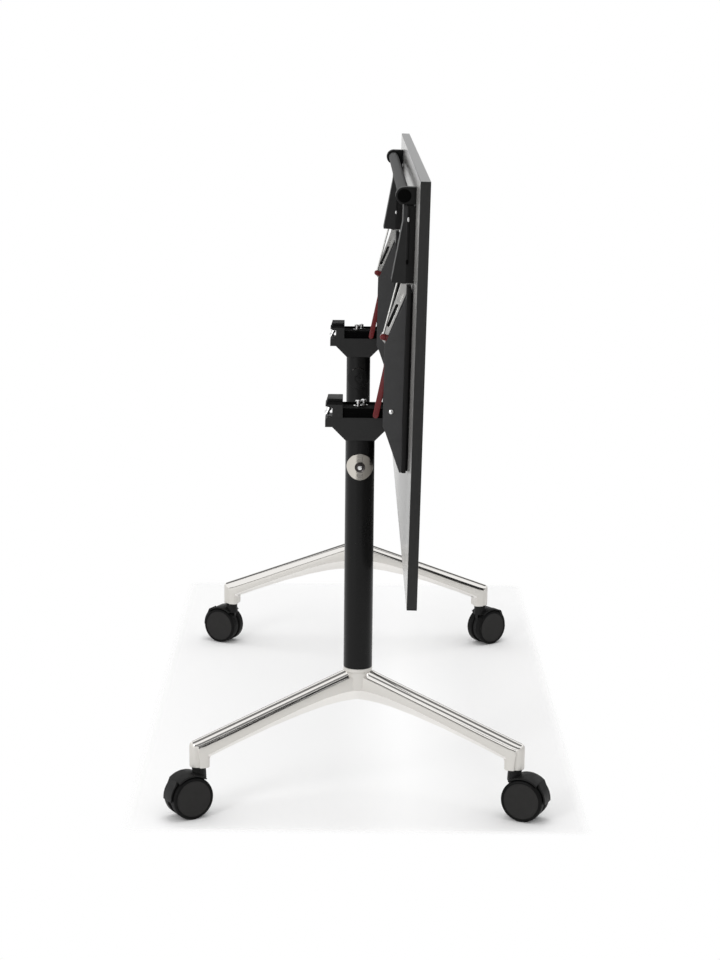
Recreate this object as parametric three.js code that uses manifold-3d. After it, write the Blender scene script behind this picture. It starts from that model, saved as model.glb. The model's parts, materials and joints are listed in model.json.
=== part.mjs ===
// A flip top training table on two splayed aluminium feet with braked twin-wheel casters.
// X runs along the table, -Y is the user's side with the release handle, +Z is up.
// The origin lies on the floor under the middle of the table. Sizes are in millimetres.
// The top stands in its parked position, tipped up about the two head pivots.
import * as THREE from "three";
import { mergeVertices } from "three/addons/utils/BufferGeometryUtils.js";
import Module from "manifold-3d";

const wasm = await Module();
wasm.setup();

// Worktop
const TOP_LENGTH = 1400;
const TOP_DEPTH = 700;
const TOP_THICKNESS = 17;
const EDGE_BAND = 2;
const DESK_HEIGHT = 752;
const PARK_ANGLE = 91;

// Pivot of the worktop, in its heads
const PIVOT_Y = 52;
const PIVOT_DROP = 31;
const PIVOT_TO_FRONT = 403;
const PIVOT_BOLT_RADIUS = 3.5;
const PIVOT_HEAD_RADIUS = 4.8;
const PIVOT_HEAD_CROWN = 3;
const PIVOT_HEAD_RIM = 1;
const PIVOT_HEAD_HEIGHT = 2.4;

// Columns and feet
const LEG_INSET = 224;
const COLUMN_DIAMETER = 50;
const COLUMN_WALL = 2;
const HUB_HEIGHT = 247;
const SPIGOT_LENGTH = 40;
const CASTER_SPLAY = 80;
const CASTER_SPAN_Y = 546;
const FOOT_WIDTH = 32;
const FOOT_EDGE_ROUND = 5;
const BOSS_RADIUS = 16.5;
const BOSS_CLEAR = 13;
const BOSS_HEIGHT = 34;
const STEM_END_ROOM = 2;
const ARM_HUB_RISE = 3;
const ARM_END_RISE = 48;
const ARM_END_ROUND = 10;
const ARCH_DROP = 57;
const ARM_BOSS_REACH = 18;
const ARM_UNDER_RISE = 42;
const ARM_UNDER_OUTER = 0.6;
const ARM_UNDER_INNER = 0.3;

// Column heads
const HEAD_WIDTH = 52;
const HEAD_DEPTH = 52;
const HEAD_SHOULDER_DROP = 29;
const HEAD_LEDGE_DROP = 13;
const HEAD_DECK_RISE = 3;
const HEAD_DECK_INSET = 4;
const HEAD_FRONT = -60;
const HEAD_BLOCK_REAR = -30;
const HEAD_BLOCK_RISE = 10;
const HEAD_LOBE_RADIUS = 15;
const HEAD_LIP = 6;
const HEAD_LIP_CHAMFER = 3;
const NOTCH_DEPTH = 12;
const STUD_RADIUS = 4.5;
const PAD_STEP = 2;
const PAD_GROOVE_DEPTH = 4;
const PAD_GROOVE_WIDTH = 1.6;

// Linking discs on the columns
const DISC_DROP = 46;
const DISC_RADIUS = 23;
const DISC_THICKNESS = 2;
const DISC_SCREW_RADIUS = 9;
const DISC_SCREW_HEIGHT = 5;
const DISC_SCREW_RIM = 2;
const DISC_SCREW_CROWN = 4.5;

// Hinge brackets under the worktop
const CHANNEL_HEIGHT = 11;
const CHANNEL_WIDTH = 78;
const CHANNEL_WALL = 2.5;
const CHANNEL_FRONT = 212;
const CHANNEL_REAR = 105;
const PLATE_THICKNESS = 3;
const PLATE_REACH = 14;
const PLATE_CORNER_FRONT = 115;
const PLATE_CORNER_REAR = 26;
const PLATE_FRONT_RUN = 2.35;
const PLATE_REAR_ROUND = 10;
const PLATE_REAR_RISE = 5;
const PLATE_END_DEPTH = 3;
const PAWL_ROOM = 6;

// Red pawls that lock the flip, and the rods that pull them
const PAWL_PIVOT_FRONT = 121;
const PAWL_PIVOT_DROP = 1.5;
const PAWL_TIP_REAR = 8;
const PAWL_TIP_DROP = 26;
const PAWL_WIDTH = 10;
const PAWL_THICKNESS = 4;
const PAWL_PIN_RADIUS = 3;
const KNOB_FRONT = 127;
const KNOB_DROP = 18;
const KNOB_RADIUS = 5;
const ROD_RADIUS = 1.8;
const ROD_TOP_FRONT = 238;
const ROD_TOP_RISE = 8;
const GUIDE_THICKNESS = 3;
const GUIDE_WIDTH = 13;
const GUIDE_SLOT_WIDTH = 5;
const GUIDE_SLOT_FRONT = 184;
const GUIDE_SLOT_REAR = 146;
const GUIDE_NECK = 18;
const GUIDE_HEEL = 12;
const GUIDE_TOE_FRONT = 2;
const GUIDE_TOE_REAR = 6;
const GUIDE_TOE_DROP = 1;
const GUIDE_FLANGE_WIDTH = 30;
const GUIDE_FLANGE_OFFSET = 7;
const GUIDE_FLANGE_DEPTH = 9;
const GUIDE_FLANGE_THICKNESS = 2.5;

// Release handle
const HANDLE_DIAMETER = 20;
const HANDLE_WALL = 1.5;
const HANDLE_PLUG_LENGTH = 12;
const HANDLE_END_INSET = 2;
const HANDLE_FRONT = 365;
const HANDLE_RISE = 11;
const HANDLE_CLEAR = 1.2;
const CLAMP_RADIUS = 14.5;
const CLAMP_LENGTH = 24;
const LEVER_THICKNESS = 7;
const LEVER_WIDTH = 10;
const LEVER_REAR = 230;
const LEVER_HUB_RADIUS = 5.5;
const LEVER_PIN_RADIUS = 3;
const LEVER_PIN_PROUD = 1;
const LEVER_PIN_FRONT = 326;
const LEVER_PIN_RISE = 19;
const HOUSING_WIDTH = 76;
const HOUSING_WALL = 2.5;
const HOUSING_FRONT = 349;
const HOUSING_KNEE = 322;
const HOUSING_REAR = 221;
const HOUSING_FRONT_RISE = 10.5;
const HOUSING_REAR_DROP = 6.5;
const HOUSING_RIDGE_RISE = 17;
const HOUSING_CHAMFER = 5;

// Casters
const WHEEL_DIAMETER = 75;
const WHEEL_WIDTH = 18;
const WHEEL_EDGE = 3;
const WHEEL_RIM = 2;
const WHEEL_DISH = 0.6;
const CASTER_TRAIL = 20;
const CASTER_WEB = 8;
const CASTER_WEB_INSET = 3;
const CASTER_WEB_FRONT = 9.6;
const AXLE_RADIUS = 4;
const AXLE_LENGTH = 30;
const NECK_RADIUS = 12.5;
const STEM_RADIUS = 5;
const STEM_LENGTH = 26;
const HOOD_THICKNESS = 3;
const HOOD_WIDTH = 42;
const HOOD_LOW_ANGLE = 55;
const HOOD_HIGH_ANGLE = 128;
const PEDAL_WIDTH = 30;
const PEDAL_LIP = 3.5;
const PEDAL_LOW_ANGLE = -4;
const PEDAL_HIGH_ANGLE = 36;
const PEDAL_LIP_ANGLE = 44;
const PEDAL_TIP_ANGLE = 49;
const CASTER_HEADINGS = { front_right: 210, rear_right: -24, front_left: 152, rear_left: 37 };

// Fits
const SEAT = 0.3;
const RUNNING = 0.3;
const WHEEL_CLEAR = 1.2;
const SWIVEL_CLEAR = 0.5;

// How far joined shapes run into each other, and cutters past what they cut
const OVERLAP = 1;

// Facets of round shapes
const PIN_SIDES = 16;
const ROUND_SIDES = 20;
const LARGE_SIDES = 28;
const DISC_SIDES = 40;
const COARSE_STEPS = 4;
const MEDIUM_STEPS = 8;
const FINE_STEPS = 16;
const BEVEL_STEPS = 2;
const MERGE_TOLERANCE = 1e-4;

// Derived places
const pivotZ = DESK_HEIGHT - TOP_THICKNESS - PIVOT_DROP;
const channelFace = PIVOT_DROP - CHANNEL_HEIGHT;
const columnX = TOP_LENGTH / 2 - LEG_INSET;
const casterX = columnX + CASTER_SPLAY;
const casterY = CASTER_SPAN_Y / 2;
const columnRadius = COLUMN_DIAMETER / 2;
const plateInside = HEAD_WIDTH / 2 + PAWL_ROOM;
const plateOutside = plateInside + PLATE_THICKNESS;
const pawlMiddle = (HEAD_WIDTH / 2 + plateInside) / 2;
const headBottom = pivotZ - HEAD_DEPTH;
const headShoulder = pivotZ - HEAD_SHOULDER_DROP;
const headLedge = pivotZ - HEAD_LEDGE_DROP;
const headDeck = pivotZ + HEAD_DECK_RISE;
const headBlockTop = pivotZ + HEAD_BLOCK_RISE;
const notchTop = headBlockTop - HEAD_LIP;
const discHeight = headBottom - DISC_DROP;
const bossBottom = WHEEL_DIAMETER + BOSS_CLEAR;
const armTopAtHub = HUB_HEIGHT + ARM_HUB_RISE;
const armTopAtEnd = bossBottom + ARM_END_RISE;
const archHeight = HUB_HEIGHT - ARCH_DROP;
const armUnderAtBoss = bossBottom + ARM_BOSS_REACH;
const wheelRadius = WHEEL_DIAMETER / 2;
const degrees = THREE.MathUtils.degToRad;

// Materials
const finish = (color, roughness, metalness) =>
  new THREE.MeshStandardMaterial({ color, roughness, metalness });
const laminate = () => finish(0xd8d6d3, 0.5, 0);
const edging = () => finish(0x272727, 0.35, 0);
const blackSteel = () => finish(0x1c1c1c, 0.4, 0.2);
const greySteel = () => finish(0x3c3c3c, 0.5, 0.2);
const blackPlastic = () => finish(0x1a1a1a, 0.5, 0);
const rubber = () => finish(0x161616, 0.8, 0);
const aluminium = () => finish(0xd2cdc6, 0.25, 0.9);
const nickel = () => finish(0xcac5bb, 0.25, 1);
const chrome = () => finish(0xe6e6e6, 0.08, 1);
const zinc = () => finish(0xbdbbb7, 0.35, 0.9);
const redPaint = () => finish(0x7a2024, 0.45, 0);

// A closed geometry as a solid for joining and cutting.
function solid(geometry) {
  const bare = new THREE.BufferGeometry();
  bare.setAttribute("position", geometry.getAttribute("position"));
  if (geometry.index) bare.setIndex(geometry.index);
  const merged = mergeVertices(bare, MERGE_TOLERANCE);
  const mesh = new wasm.Mesh({
    numProp: 3,
    vertProperties: merged.getAttribute("position").array,
    triVerts: new Uint32Array(merged.index.array),
  });
  return new wasm.Manifold(mesh);
}

// A solid back as a geometry.
function geometryOf(manifold) {
  const mesh = manifold.getMesh();
  const geometry = new THREE.BufferGeometry();
  geometry.setAttribute("position", new THREE.BufferAttribute(mesh.vertProperties, 3));
  geometry.setIndex(new THREE.BufferAttribute(mesh.triVerts, 1));
  geometry.computeVertexNormals();
  return geometry;
}

const join = (...geometries) => geometries.map(solid).reduce((sum, next) => sum.add(next));
const cut = (body, ...geometries) =>
  geometries.map(solid).reduce((rest, next) => rest.subtract(next), body);

// A shape drawn in Y and Z, swept along X from one side to the other.
const sideFrame = new THREE.Matrix4().set(0, 0, 1, 0, 1, 0, 0, 0, 0, 1, 0, 0, 0, 0, 0, 1);
function sideProfile(shape, fromX, toX, curveSegments = COARSE_STEPS) {
  const depth = toX - fromX;
  const geometry = new THREE.ExtrudeGeometry(shape, { depth, bevelEnabled: false, curveSegments });
  return geometry.applyMatrix4(sideFrame).translate(fromX, 0, 0);
}

function polygon(points) {
  return new THREE.Shape(points.map(([a, b]) => new THREE.Vector2(a, b)));
}

function addHole(shape, y, z, radius) {
  shape.holes.push(new THREE.Path().absarc(y, z, radius, 0, 2 * Math.PI, true));
  return shape;
}

function box(fromX, toX, fromY, toY, fromZ, toZ) {
  const geometry = new THREE.BoxGeometry(toX - fromX, toY - fromY, toZ - fromZ);
  return geometry.translate((fromX + toX) / 2, (fromY + toY) / 2, (fromZ + toZ) / 2);
}

function roundAlongX(radius, fromX, toX, y, z, sides = PIN_SIDES) {
  const geometry = new THREE.CylinderGeometry(radius, radius, toX - fromX, sides);
  return geometry.rotateZ(-Math.PI / 2).translate((fromX + toX) / 2, y, z);
}

function roundAlongZ(radius, fromZ, toZ, x, y, sides = ROUND_SIDES) {
  const geometry = new THREE.CylinderGeometry(radius, radius, toZ - fromZ, sides);
  return geometry.rotateX(Math.PI / 2).translate(x, y, (fromZ + toZ) / 2);
}

// A turned piece on an X axis, from a profile of radius and place along X.
function turnedAlongX(profile, y, z, sides = PIN_SIDES) {
  const points = profile.map(([radius, along]) => new THREE.Vector2(radius, along));
  return new THREE.LatheGeometry(points, sides).rotateZ(-Math.PI / 2).translate(0, y, z);
}

// A bar with round ends between two places in the side view.
function bar(fromY, fromZ, toY, toZ, width) {
  const turn = Math.atan2(toZ - fromZ, toY - fromY);
  const shape = new THREE.Shape();
  shape.absarc(toY, toZ, width / 2, turn - Math.PI / 2, turn + Math.PI / 2, false);
  shape.absarc(fromY, fromZ, width / 2, turn + Math.PI / 2, turn + (3 * Math.PI) / 2, false);
  shape.closePath();
  return shape;
}

const table = new THREE.Group();

function piece(parent, name, geometry, material) {
  const mesh = new THREE.Mesh(geometry, material);
  mesh.name = name;
  parent.add(mesh);
  return mesh;
}

// Feet: two arms that splay outwards from a hub under the column
const armReach = Math.hypot(CASTER_SPLAY, casterY);
const armTurn = Math.atan2(CASTER_SPLAY, casterY);

function footArm(side) {
  const start = armReach - BOSS_RADIUS;
  const end = armReach + BOSS_RADIUS;
  const shape = new THREE.Shape();
  shape.moveTo(0, armTopAtHub);
  shape.lineTo(end - ARM_END_ROUND, armTopAtEnd);
  shape.quadraticCurveTo(end, armTopAtEnd, end, armTopAtEnd - ARM_END_ROUND);
  shape.lineTo(end, bossBottom + FOOT_EDGE_ROUND);
  shape.lineTo(start, bossBottom + FOOT_EDGE_ROUND);
  shape.lineTo(start, armUnderAtBoss);
  shape.bezierCurveTo(
    armReach * ARM_UNDER_OUTER,
    armUnderAtBoss + ARM_UNDER_RISE,
    armReach * ARM_UNDER_INNER,
    archHeight,
    0,
    archHeight,
  );
  shape.closePath();
  const geometry = new THREE.ExtrudeGeometry(shape, {
    depth: FOOT_WIDTH - 2 * FOOT_EDGE_ROUND,
    curveSegments: MEDIUM_STEPS,
    bevelEnabled: true,
    bevelThickness: FOOT_EDGE_ROUND,
    bevelSize: FOOT_EDGE_ROUND,
    bevelOffset: -FOOT_EDGE_ROUND,
    bevelSegments: BEVEL_STEPS,
  });
  geometry.translate(0, 0, FOOT_EDGE_ROUND - FOOT_WIDTH / 2);
  geometry.rotateX(Math.PI / 2);
  return geometry.rotateZ(side * (Math.PI / 2 - armTurn));
}

function footGeometry() {
  const spigotRadius = columnRadius - COLUMN_WALL - SEAT;
  let foot = join(
    roundAlongZ(columnRadius, archHeight + FOOT_EDGE_ROUND, HUB_HEIGHT, 0, 0, LARGE_SIDES),
    roundAlongZ(spigotRadius, HUB_HEIGHT - OVERLAP, HUB_HEIGHT + SPIGOT_LENGTH, 0, 0),
    footArm(-1),
    footArm(1),
    roundAlongZ(BOSS_RADIUS, bossBottom, bossBottom + BOSS_HEIGHT, CASTER_SPLAY, -casterY),
    roundAlongZ(BOSS_RADIUS, bossBottom, bossBottom + BOSS_HEIGHT, CASTER_SPLAY, casterY),
  );
  const boreTop = bossBottom + STEM_LENGTH + STEM_END_ROOM;
  for (const y of [-casterY, casterY]) {
    foot = cut(foot, roundAlongZ(STEM_RADIUS + RUNNING, bossBottom - OVERLAP, boreTop, CASTER_SPLAY, y));
  }
  return geometryOf(foot);
}

// Columns: plain round tubes between foot and head
function columnGeometry() {
  const ring = new THREE.Shape().absarc(0, 0, columnRadius, 0, 2 * Math.PI, false);
  addHole(ring, 0, 0, columnRadius - COLUMN_WALL);
  const geometry = new THREE.ExtrudeGeometry(ring, {
    depth: headBottom - HUB_HEIGHT - 2 * SEAT,
    bevelEnabled: false,
    curveSegments: FINE_STEPS,
  });
  return geometry.translate(0, 0, HUB_HEIGHT + SEAT);
}

// Heads: a stepped casting that holds the pivot at the rear and the rest pad in front
function headGeometry() {
  const half = HEAD_WIDTH / 2;
  const lobeBottom = pivotZ - HEAD_LOBE_RADIUS;
  const body = polygon([
    [-columnRadius, headBottom],
    [columnRadius, headBottom],
    [columnRadius + lobeBottom - headBottom, lobeBottom],
    [PIVOT_Y, lobeBottom],
    [PIVOT_Y, headLedge],
    [HEAD_FRONT, headLedge],
    [HEAD_FRONT, headShoulder],
    [-columnRadius + headBottom - headShoulder, headShoulder],
  ]);
  const notchFront = HEAD_FRONT + NOTCH_DEPTH;
  const block = polygon([
    [HEAD_BLOCK_REAR, headLedge - OVERLAP],
    [HEAD_BLOCK_REAR, headBlockTop],
    [HEAD_FRONT + HEAD_LIP_CHAMFER, headBlockTop],
    [HEAD_FRONT, headBlockTop - HEAD_LIP_CHAMFER],
    [notchFront, notchTop],
    [notchFront, headLedge - OVERLAP],
  ]);
  const deckHalf = half - HEAD_DECK_INSET;
  const head = join(
    sideProfile(body, -half, half),
    sideProfile(block, -half, half),
    box(-deckHalf, deckHalf, HEAD_BLOCK_REAR - OVERLAP, PIVOT_Y, headLedge - OVERLAP, headDeck),
    roundAlongX(HEAD_LOBE_RADIUS, -half, half, PIVOT_Y, pivotZ, LARGE_SIDES),
    roundAlongZ(columnRadius - COLUMN_WALL - SEAT, headBottom - SPIGOT_LENGTH, headBottom + OVERLAP, 0, 0),
  );
  const boreEnd = half + OVERLAP;
  return geometryOf(cut(head, roundAlongX(PIVOT_BOLT_RADIUS + RUNNING, -boreEnd, boreEnd, PIVOT_Y, pivotZ)));
}

// Rest pads: ribbed rubber blocks that carry the worktop when it is level
function restPadGeometry() {
  const padBottom = headBlockTop + SEAT;
  const padTop = pivotZ + channelFace - SEAT;
  const middle = (padBottom + padTop) / 2;
  const front = HEAD_FRONT + HEAD_LIP_CHAMFER;
  const shape = polygon([
    [HEAD_BLOCK_REAR, padBottom],
    [HEAD_BLOCK_REAR, padTop],
    [front + PAD_STEP, padTop],
    [front + PAD_STEP, middle + PAD_GROOVE_WIDTH / 2],
    [front + PAD_GROOVE_DEPTH, middle + PAD_GROOVE_WIDTH / 2],
    [front + PAD_GROOVE_DEPTH, middle - PAD_GROOVE_WIDTH / 2],
    [front, middle - PAD_GROOVE_WIDTH / 2],
    [front, padBottom],
  ]);
  return sideProfile(shape, -HEAD_WIDTH / 2, HEAD_WIDTH / 2);
}

// Catch studs: slanted chrome studs in the front notch of each head
function catchStudGeometry() {
  const notchHeight = notchTop - headLedge;
  const lean = Math.atan2(NOTCH_DEPTH - STUD_RADIUS, notchHeight);
  const length = notchHeight - 2 * STUD_RADIUS * Math.sin(lean) - 2 * SEAT;
  const stud = new THREE.CylinderGeometry(STUD_RADIUS, STUD_RADIUS, length, ROUND_SIDES);
  const reach = (length / 2) * Math.sin(lean) + STUD_RADIUS * Math.cos(lean);
  stud.rotateX(Math.PI / 2 - lean);
  return stud.translate(0, HEAD_FRONT + NOTCH_DEPTH - SEAT - reach, (headLedge + notchTop) / 2);
}

// Linking discs: round plates bent round the +X side of each column
function discGeometry() {
  const inside = columnRadius + SEAT;
  const reach = DISC_RADIUS + OVERLAP;
  const sleeve = (radius, end) => roundAlongZ(radius, discHeight - end, discHeight + end, 0, 0, DISC_SIDES);
  const wrap = solid(sleeve(inside + DISC_THICKNESS, reach));
  const hollow = sleeve(inside, reach + OVERLAP);
  const round = roundAlongX(DISC_RADIUS, 0, 2 * columnRadius, 0, discHeight, DISC_SIDES);
  return geometryOf(cut(wrap, hollow).intersect(solid(round)));
}

function discScrewGeometry() {
  const seat = columnRadius + 2 * SEAT + DISC_THICKNESS;
  const profile = [
    [0, seat],
    [DISC_SCREW_RADIUS, seat],
    [DISC_SCREW_RADIUS, seat + DISC_SCREW_RIM],
    [DISC_SCREW_CROWN, seat + DISC_SCREW_RIM],
    [DISC_SCREW_CROWN, seat + DISC_SCREW_HEIGHT],
    [0, seat + DISC_SCREW_HEIGHT],
  ];
  return turnedAlongX(profile, 0, discHeight, ROUND_SIDES);
}

function addLeg(side, name) {
  const discFinish = side > 0 ? nickel : blackSteel;
  const screwFinish = side > 0 ? chrome : blackSteel;
  const outward = new THREE.Group();
  outward.position.x = side * columnX;
  outward.rotation.z = side > 0 ? 0 : Math.PI;
  table.add(outward);
  piece(outward, `foot_${name}`, footGeometry(), aluminium());
  piece(outward, `column_${name}`, columnGeometry(), blackSteel());
  const upright = new THREE.Group();
  upright.position.x = side * columnX;
  table.add(upright);
  piece(upright, `link_disc_${name}`, discGeometry(), discFinish());
  piece(upright, `link_disc_screw_${name}`, discScrewGeometry(), screwFinish());
  piece(upright, `head_${name}`, headGeometry(), blackPlastic());
  piece(upright, `rest_pad_${name}`, restPadGeometry(), rubber());
  piece(upright, `catch_stud_${name}`, catchStudGeometry(), chrome());
}

// Worktop: a laminated board with an edge band on each side, in the level table's frame
const worktop = new THREE.Group();
worktop.position.set(0, PIVOT_Y, pivotZ);
worktop.rotation.x = -degrees(PARK_ANGLE);
table.add(worktop);

function addBoard() {
  const under = PIVOT_DROP;
  const over = PIVOT_DROP + TOP_THICKNESS;
  const endX = TOP_LENGTH / 2;
  const frontY = -PIVOT_TO_FRONT;
  const rearY = TOP_DEPTH - PIVOT_TO_FRONT;
  const inset = EDGE_BAND + SEAT;
  const core = box(-endX + inset, endX - inset, frontY + inset, rearY - inset, under, over);
  piece(worktop, "worktop_board", core, laminate());
  piece(worktop, "edge_band_front", box(-endX, endX, frontY, frontY + EDGE_BAND, under, over), edging());
  piece(worktop, "edge_band_rear", box(-endX, endX, rearY - EDGE_BAND, rearY, under, over), edging());
  const endBand = (fromX, toX) => box(fromX, toX, frontY + inset, rearY - inset, under, over);
  piece(worktop, "edge_band_right", endBand(endX - EDGE_BAND, endX), edging());
  piece(worktop, "edge_band_left", endBand(-endX, -endX + EDGE_BAND), edging());
}

// Mounting channels: shallow trays screwed to the underside, open towards the board
function channelGeometry() {
  const half = CHANNEL_WIDTH / 2;
  const top = PIVOT_DROP - SEAT;
  const web = channelFace + CHANNEL_WALL;
  const section = polygon([
    [-half, channelFace],
    [half, channelFace],
    [half, top],
    [half - CHANNEL_WALL, top],
    [half - CHANNEL_WALL, web],
    [-half + CHANNEL_WALL, web],
    [-half + CHANNEL_WALL, top],
    [-half, top],
  ]);
  const depth = CHANNEL_FRONT + CHANNEL_REAR;
  const geometry = new THREE.ExtrudeGeometry(section, { depth, bevelEnabled: false });
  return geometry.rotateX(Math.PI / 2).translate(0, CHANNEL_REAR, 0);
}

// Side plates: they hang from the channel on both sides of the head and hold its pivot bolt
function sidePlateGeometry(fromX) {
  const top = channelFace - SEAT;
  const rise = top + PLATE_REACH;
  const shape = polygon([
    [-PLATE_CORNER_FRONT - rise * PLATE_FRONT_RUN, top],
    [-PLATE_CORNER_FRONT, -PLATE_REACH],
    [PLATE_CORNER_REAR, -PLATE_REACH],
    [PLATE_CORNER_REAR + PLATE_REAR_ROUND, -PLATE_REACH + PLATE_REAR_RISE],
    [CHANNEL_REAR, top - PLATE_END_DEPTH],
    [CHANNEL_REAR, top],
  ]);
  addHole(shape, 0, 0, PIVOT_BOLT_RADIUS + RUNNING);
  addHole(shape, -PAWL_PIVOT_FRONT, -PAWL_PIVOT_DROP, PAWL_PIN_RADIUS + RUNNING);
  return sideProfile(shape, fromX, fromX + PLATE_THICKNESS, MEDIUM_STEPS);
}

function pivotBoltGeometry() {
  const seat = plateOutside + SEAT;
  const rim = seat + PIVOT_HEAD_RIM;
  const end = seat + PIVOT_HEAD_HEIGHT;
  const profile = [
    [0, -end],
    [PIVOT_HEAD_CROWN, -end],
    [PIVOT_HEAD_RADIUS, -rim],
    [PIVOT_HEAD_RADIUS, -seat],
    [PIVOT_BOLT_RADIUS, -seat],
    [PIVOT_BOLT_RADIUS, seat],
    [PIVOT_HEAD_RADIUS, seat],
    [PIVOT_HEAD_RADIUS, rim],
    [PIVOT_HEAD_CROWN, end],
    [0, end],
  ];
  return turnedAlongX(profile, 0, 0);
}

// Red pawls: a bell crank beside the head, with a knob at its short arm
function pawlGeometry() {
  const fromX = pawlMiddle - PAWL_THICKNESS / 2;
  const toX = pawlMiddle + PAWL_THICKNESS / 2;
  const long = bar(-PAWL_PIVOT_FRONT, -PAWL_PIVOT_DROP, PAWL_TIP_REAR, -PAWL_TIP_DROP, PAWL_WIDTH);
  const short = bar(-PAWL_PIVOT_FRONT, -PAWL_PIVOT_DROP, -KNOB_FRONT, -KNOB_DROP, PAWL_WIDTH);
  const pawl = join(
    sideProfile(long, fromX, toX),
    sideProfile(short, fromX, toX),
    roundAlongX(KNOB_RADIUS, fromX, plateOutside, -KNOB_FRONT, -KNOB_DROP),
  );
  const boreRadius = PAWL_PIN_RADIUS + RUNNING;
  const bore = roundAlongX(boreRadius, fromX - OVERLAP, toX + OVERLAP, -PAWL_PIVOT_FRONT, -PAWL_PIVOT_DROP);
  return geometryOf(cut(pawl, bore));
}

// Pawl pins: they end flush with the side plate
function pawlPinGeometry() {
  return roundAlongX(PAWL_PIN_RADIUS, HEAD_WIDTH / 2, plateOutside, -PAWL_PIVOT_FRONT, -PAWL_PIVOT_DROP);
}

// Pull rods: straight wires from the handle levers down to the pawl knobs
function pullRodGeometry() {
  const from = new THREE.Vector3(0, -KNOB_FRONT, -KNOB_DROP);
  const to = new THREE.Vector3(0, -ROD_TOP_FRONT, ROD_TOP_RISE);
  const along = to.clone().sub(from);
  const start = KNOB_RADIUS + SEAT;
  const length = along.length() - start;
  const rod = new THREE.CylinderGeometry(ROD_RADIUS, ROD_RADIUS, length, PIN_SIDES);
  rod.translate(0, start + length / 2, 0);
  const up = new THREE.Vector3(0, 1, 0);
  rod.applyQuaternion(new THREE.Quaternion().setFromUnitVectors(up, along.normalize()));
  return rod.translate(pawlMiddle, from.y, from.z);
}

// Guides: slotted plates that slope from the underside down to the pawl knobs
function guideGeometry() {
  const top = channelFace - 2 * SEAT;
  const toX = HEAD_WIDTH / 2 - 2 * SEAT;
  const fromX = toX - GUIDE_THICKNESS;
  const flangeFront = -CHANNEL_FRONT - GUIDE_FLANGE_OFFSET;
  const flangeBottom = top - GUIDE_FLANGE_DEPTH;
  const heel = CHANNEL_FRONT - GUIDE_HEEL;
  const neck = CHANNEL_FRONT - GUIDE_NECK;
  const slope = (top + PLATE_REACH) / (heel - PLATE_CORNER_FRONT);
  const offset = GUIDE_WIDTH / Math.cos(Math.atan(slope));
  const line = (front) => -PLATE_REACH + (front - PLATE_CORNER_FRONT) * slope;
  const middle = (front) => line(front) - offset / 2;
  const shape = polygon([
    [flangeFront, top],
    [flangeFront, flangeBottom],
    [-neck, line(neck) - offset],
    [-KNOB_FRONT - GUIDE_TOE_FRONT, -KNOB_DROP - GUIDE_TOE_DROP],
    [-KNOB_FRONT + GUIDE_TOE_REAR, -KNOB_DROP - GUIDE_TOE_DROP],
    [-PLATE_CORNER_FRONT, -PLATE_REACH],
    [-heel, top],
  ]);
  const slotFront = [-GUIDE_SLOT_FRONT, middle(GUIDE_SLOT_FRONT)];
  const slotRear = [-GUIDE_SLOT_REAR, middle(GUIDE_SLOT_REAR)];
  const slot = bar(...slotFront, ...slotRear, GUIDE_SLOT_WIDTH);
  shape.holes.push(new THREE.Path(slot.getPoints(COARSE_STEPS).reverse()));
  const flangeRear = flangeFront + GUIDE_FLANGE_THICKNESS;
  const flange = box(toX - GUIDE_FLANGE_WIDTH, toX, flangeFront, flangeRear, flangeBottom, PIVOT_DROP - SEAT);
  return geometryOf(join(sideProfile(shape, fromX, toX), flange));
}

// Housings: wedge covers over the handle levers, open towards the board and at both ends
function housingSection(y, rise, grow) {
  const half = HOUSING_WIDTH / 2 + grow;
  const roof = rise - grow;
  const edge = PIVOT_DROP - SEAT - Math.min(grow, 0);
  return [
    [-half, y, edge],
    [-half, y, HOUSING_RIDGE_RISE],
    [-half + HOUSING_CHAMFER, y, roof],
    [half - HOUSING_CHAMFER, y, roof],
    [half, y, HOUSING_RIDGE_RISE],
    [half, y, edge],
  ];
}

// A closed body through sections with as many corners each.
function loft(...sections) {
  const count = sections[0].length;
  const last = (sections.length - 1) * count;
  const index = [];
  for (let start = 0; start < last; start += count) {
    for (let i = 0; i < count; i++) {
      const near = start + i;
      const next = start + ((i + 1) % count);
      index.push(near, count + next, next, near, count + near, count + next);
    }
  }
  for (let i = 1; i < count - 1; i++) {
    index.push(0, i, i + 1, last, last + i + 1, last + i);
  }
  const geometry = new THREE.BufferGeometry();
  geometry.setAttribute("position", new THREE.Float32BufferAttribute(sections.flat(2), 3));
  geometry.setIndex(index);
  return geometry;
}

function housingGeometry() {
  const skin = (grow, past) =>
    loft(
      housingSection(-HOUSING_FRONT - past, HOUSING_FRONT_RISE, grow),
      housingSection(-HOUSING_KNEE, HOUSING_FRONT_RISE, grow),
      housingSection(-HOUSING_REAR + past, -HOUSING_REAR_DROP, grow),
    );
  const outer = skin(0, 0);
  const inner = skin(-HOUSING_WALL, OVERLAP);
  const half = HOUSING_WIDTH / 2 + OVERLAP;
  const bore = roundAlongX(LEVER_PIN_RADIUS + RUNNING, -half, half, -LEVER_PIN_FRONT, LEVER_PIN_RISE);
  return geometryOf(cut(solid(outer), inner, bore));
}

function leverPinGeometry() {
  const half = HOUSING_WIDTH / 2 + LEVER_PIN_PROUD;
  return roundAlongX(LEVER_PIN_RADIUS, -half, half, -LEVER_PIN_FRONT, LEVER_PIN_RISE);
}

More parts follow.
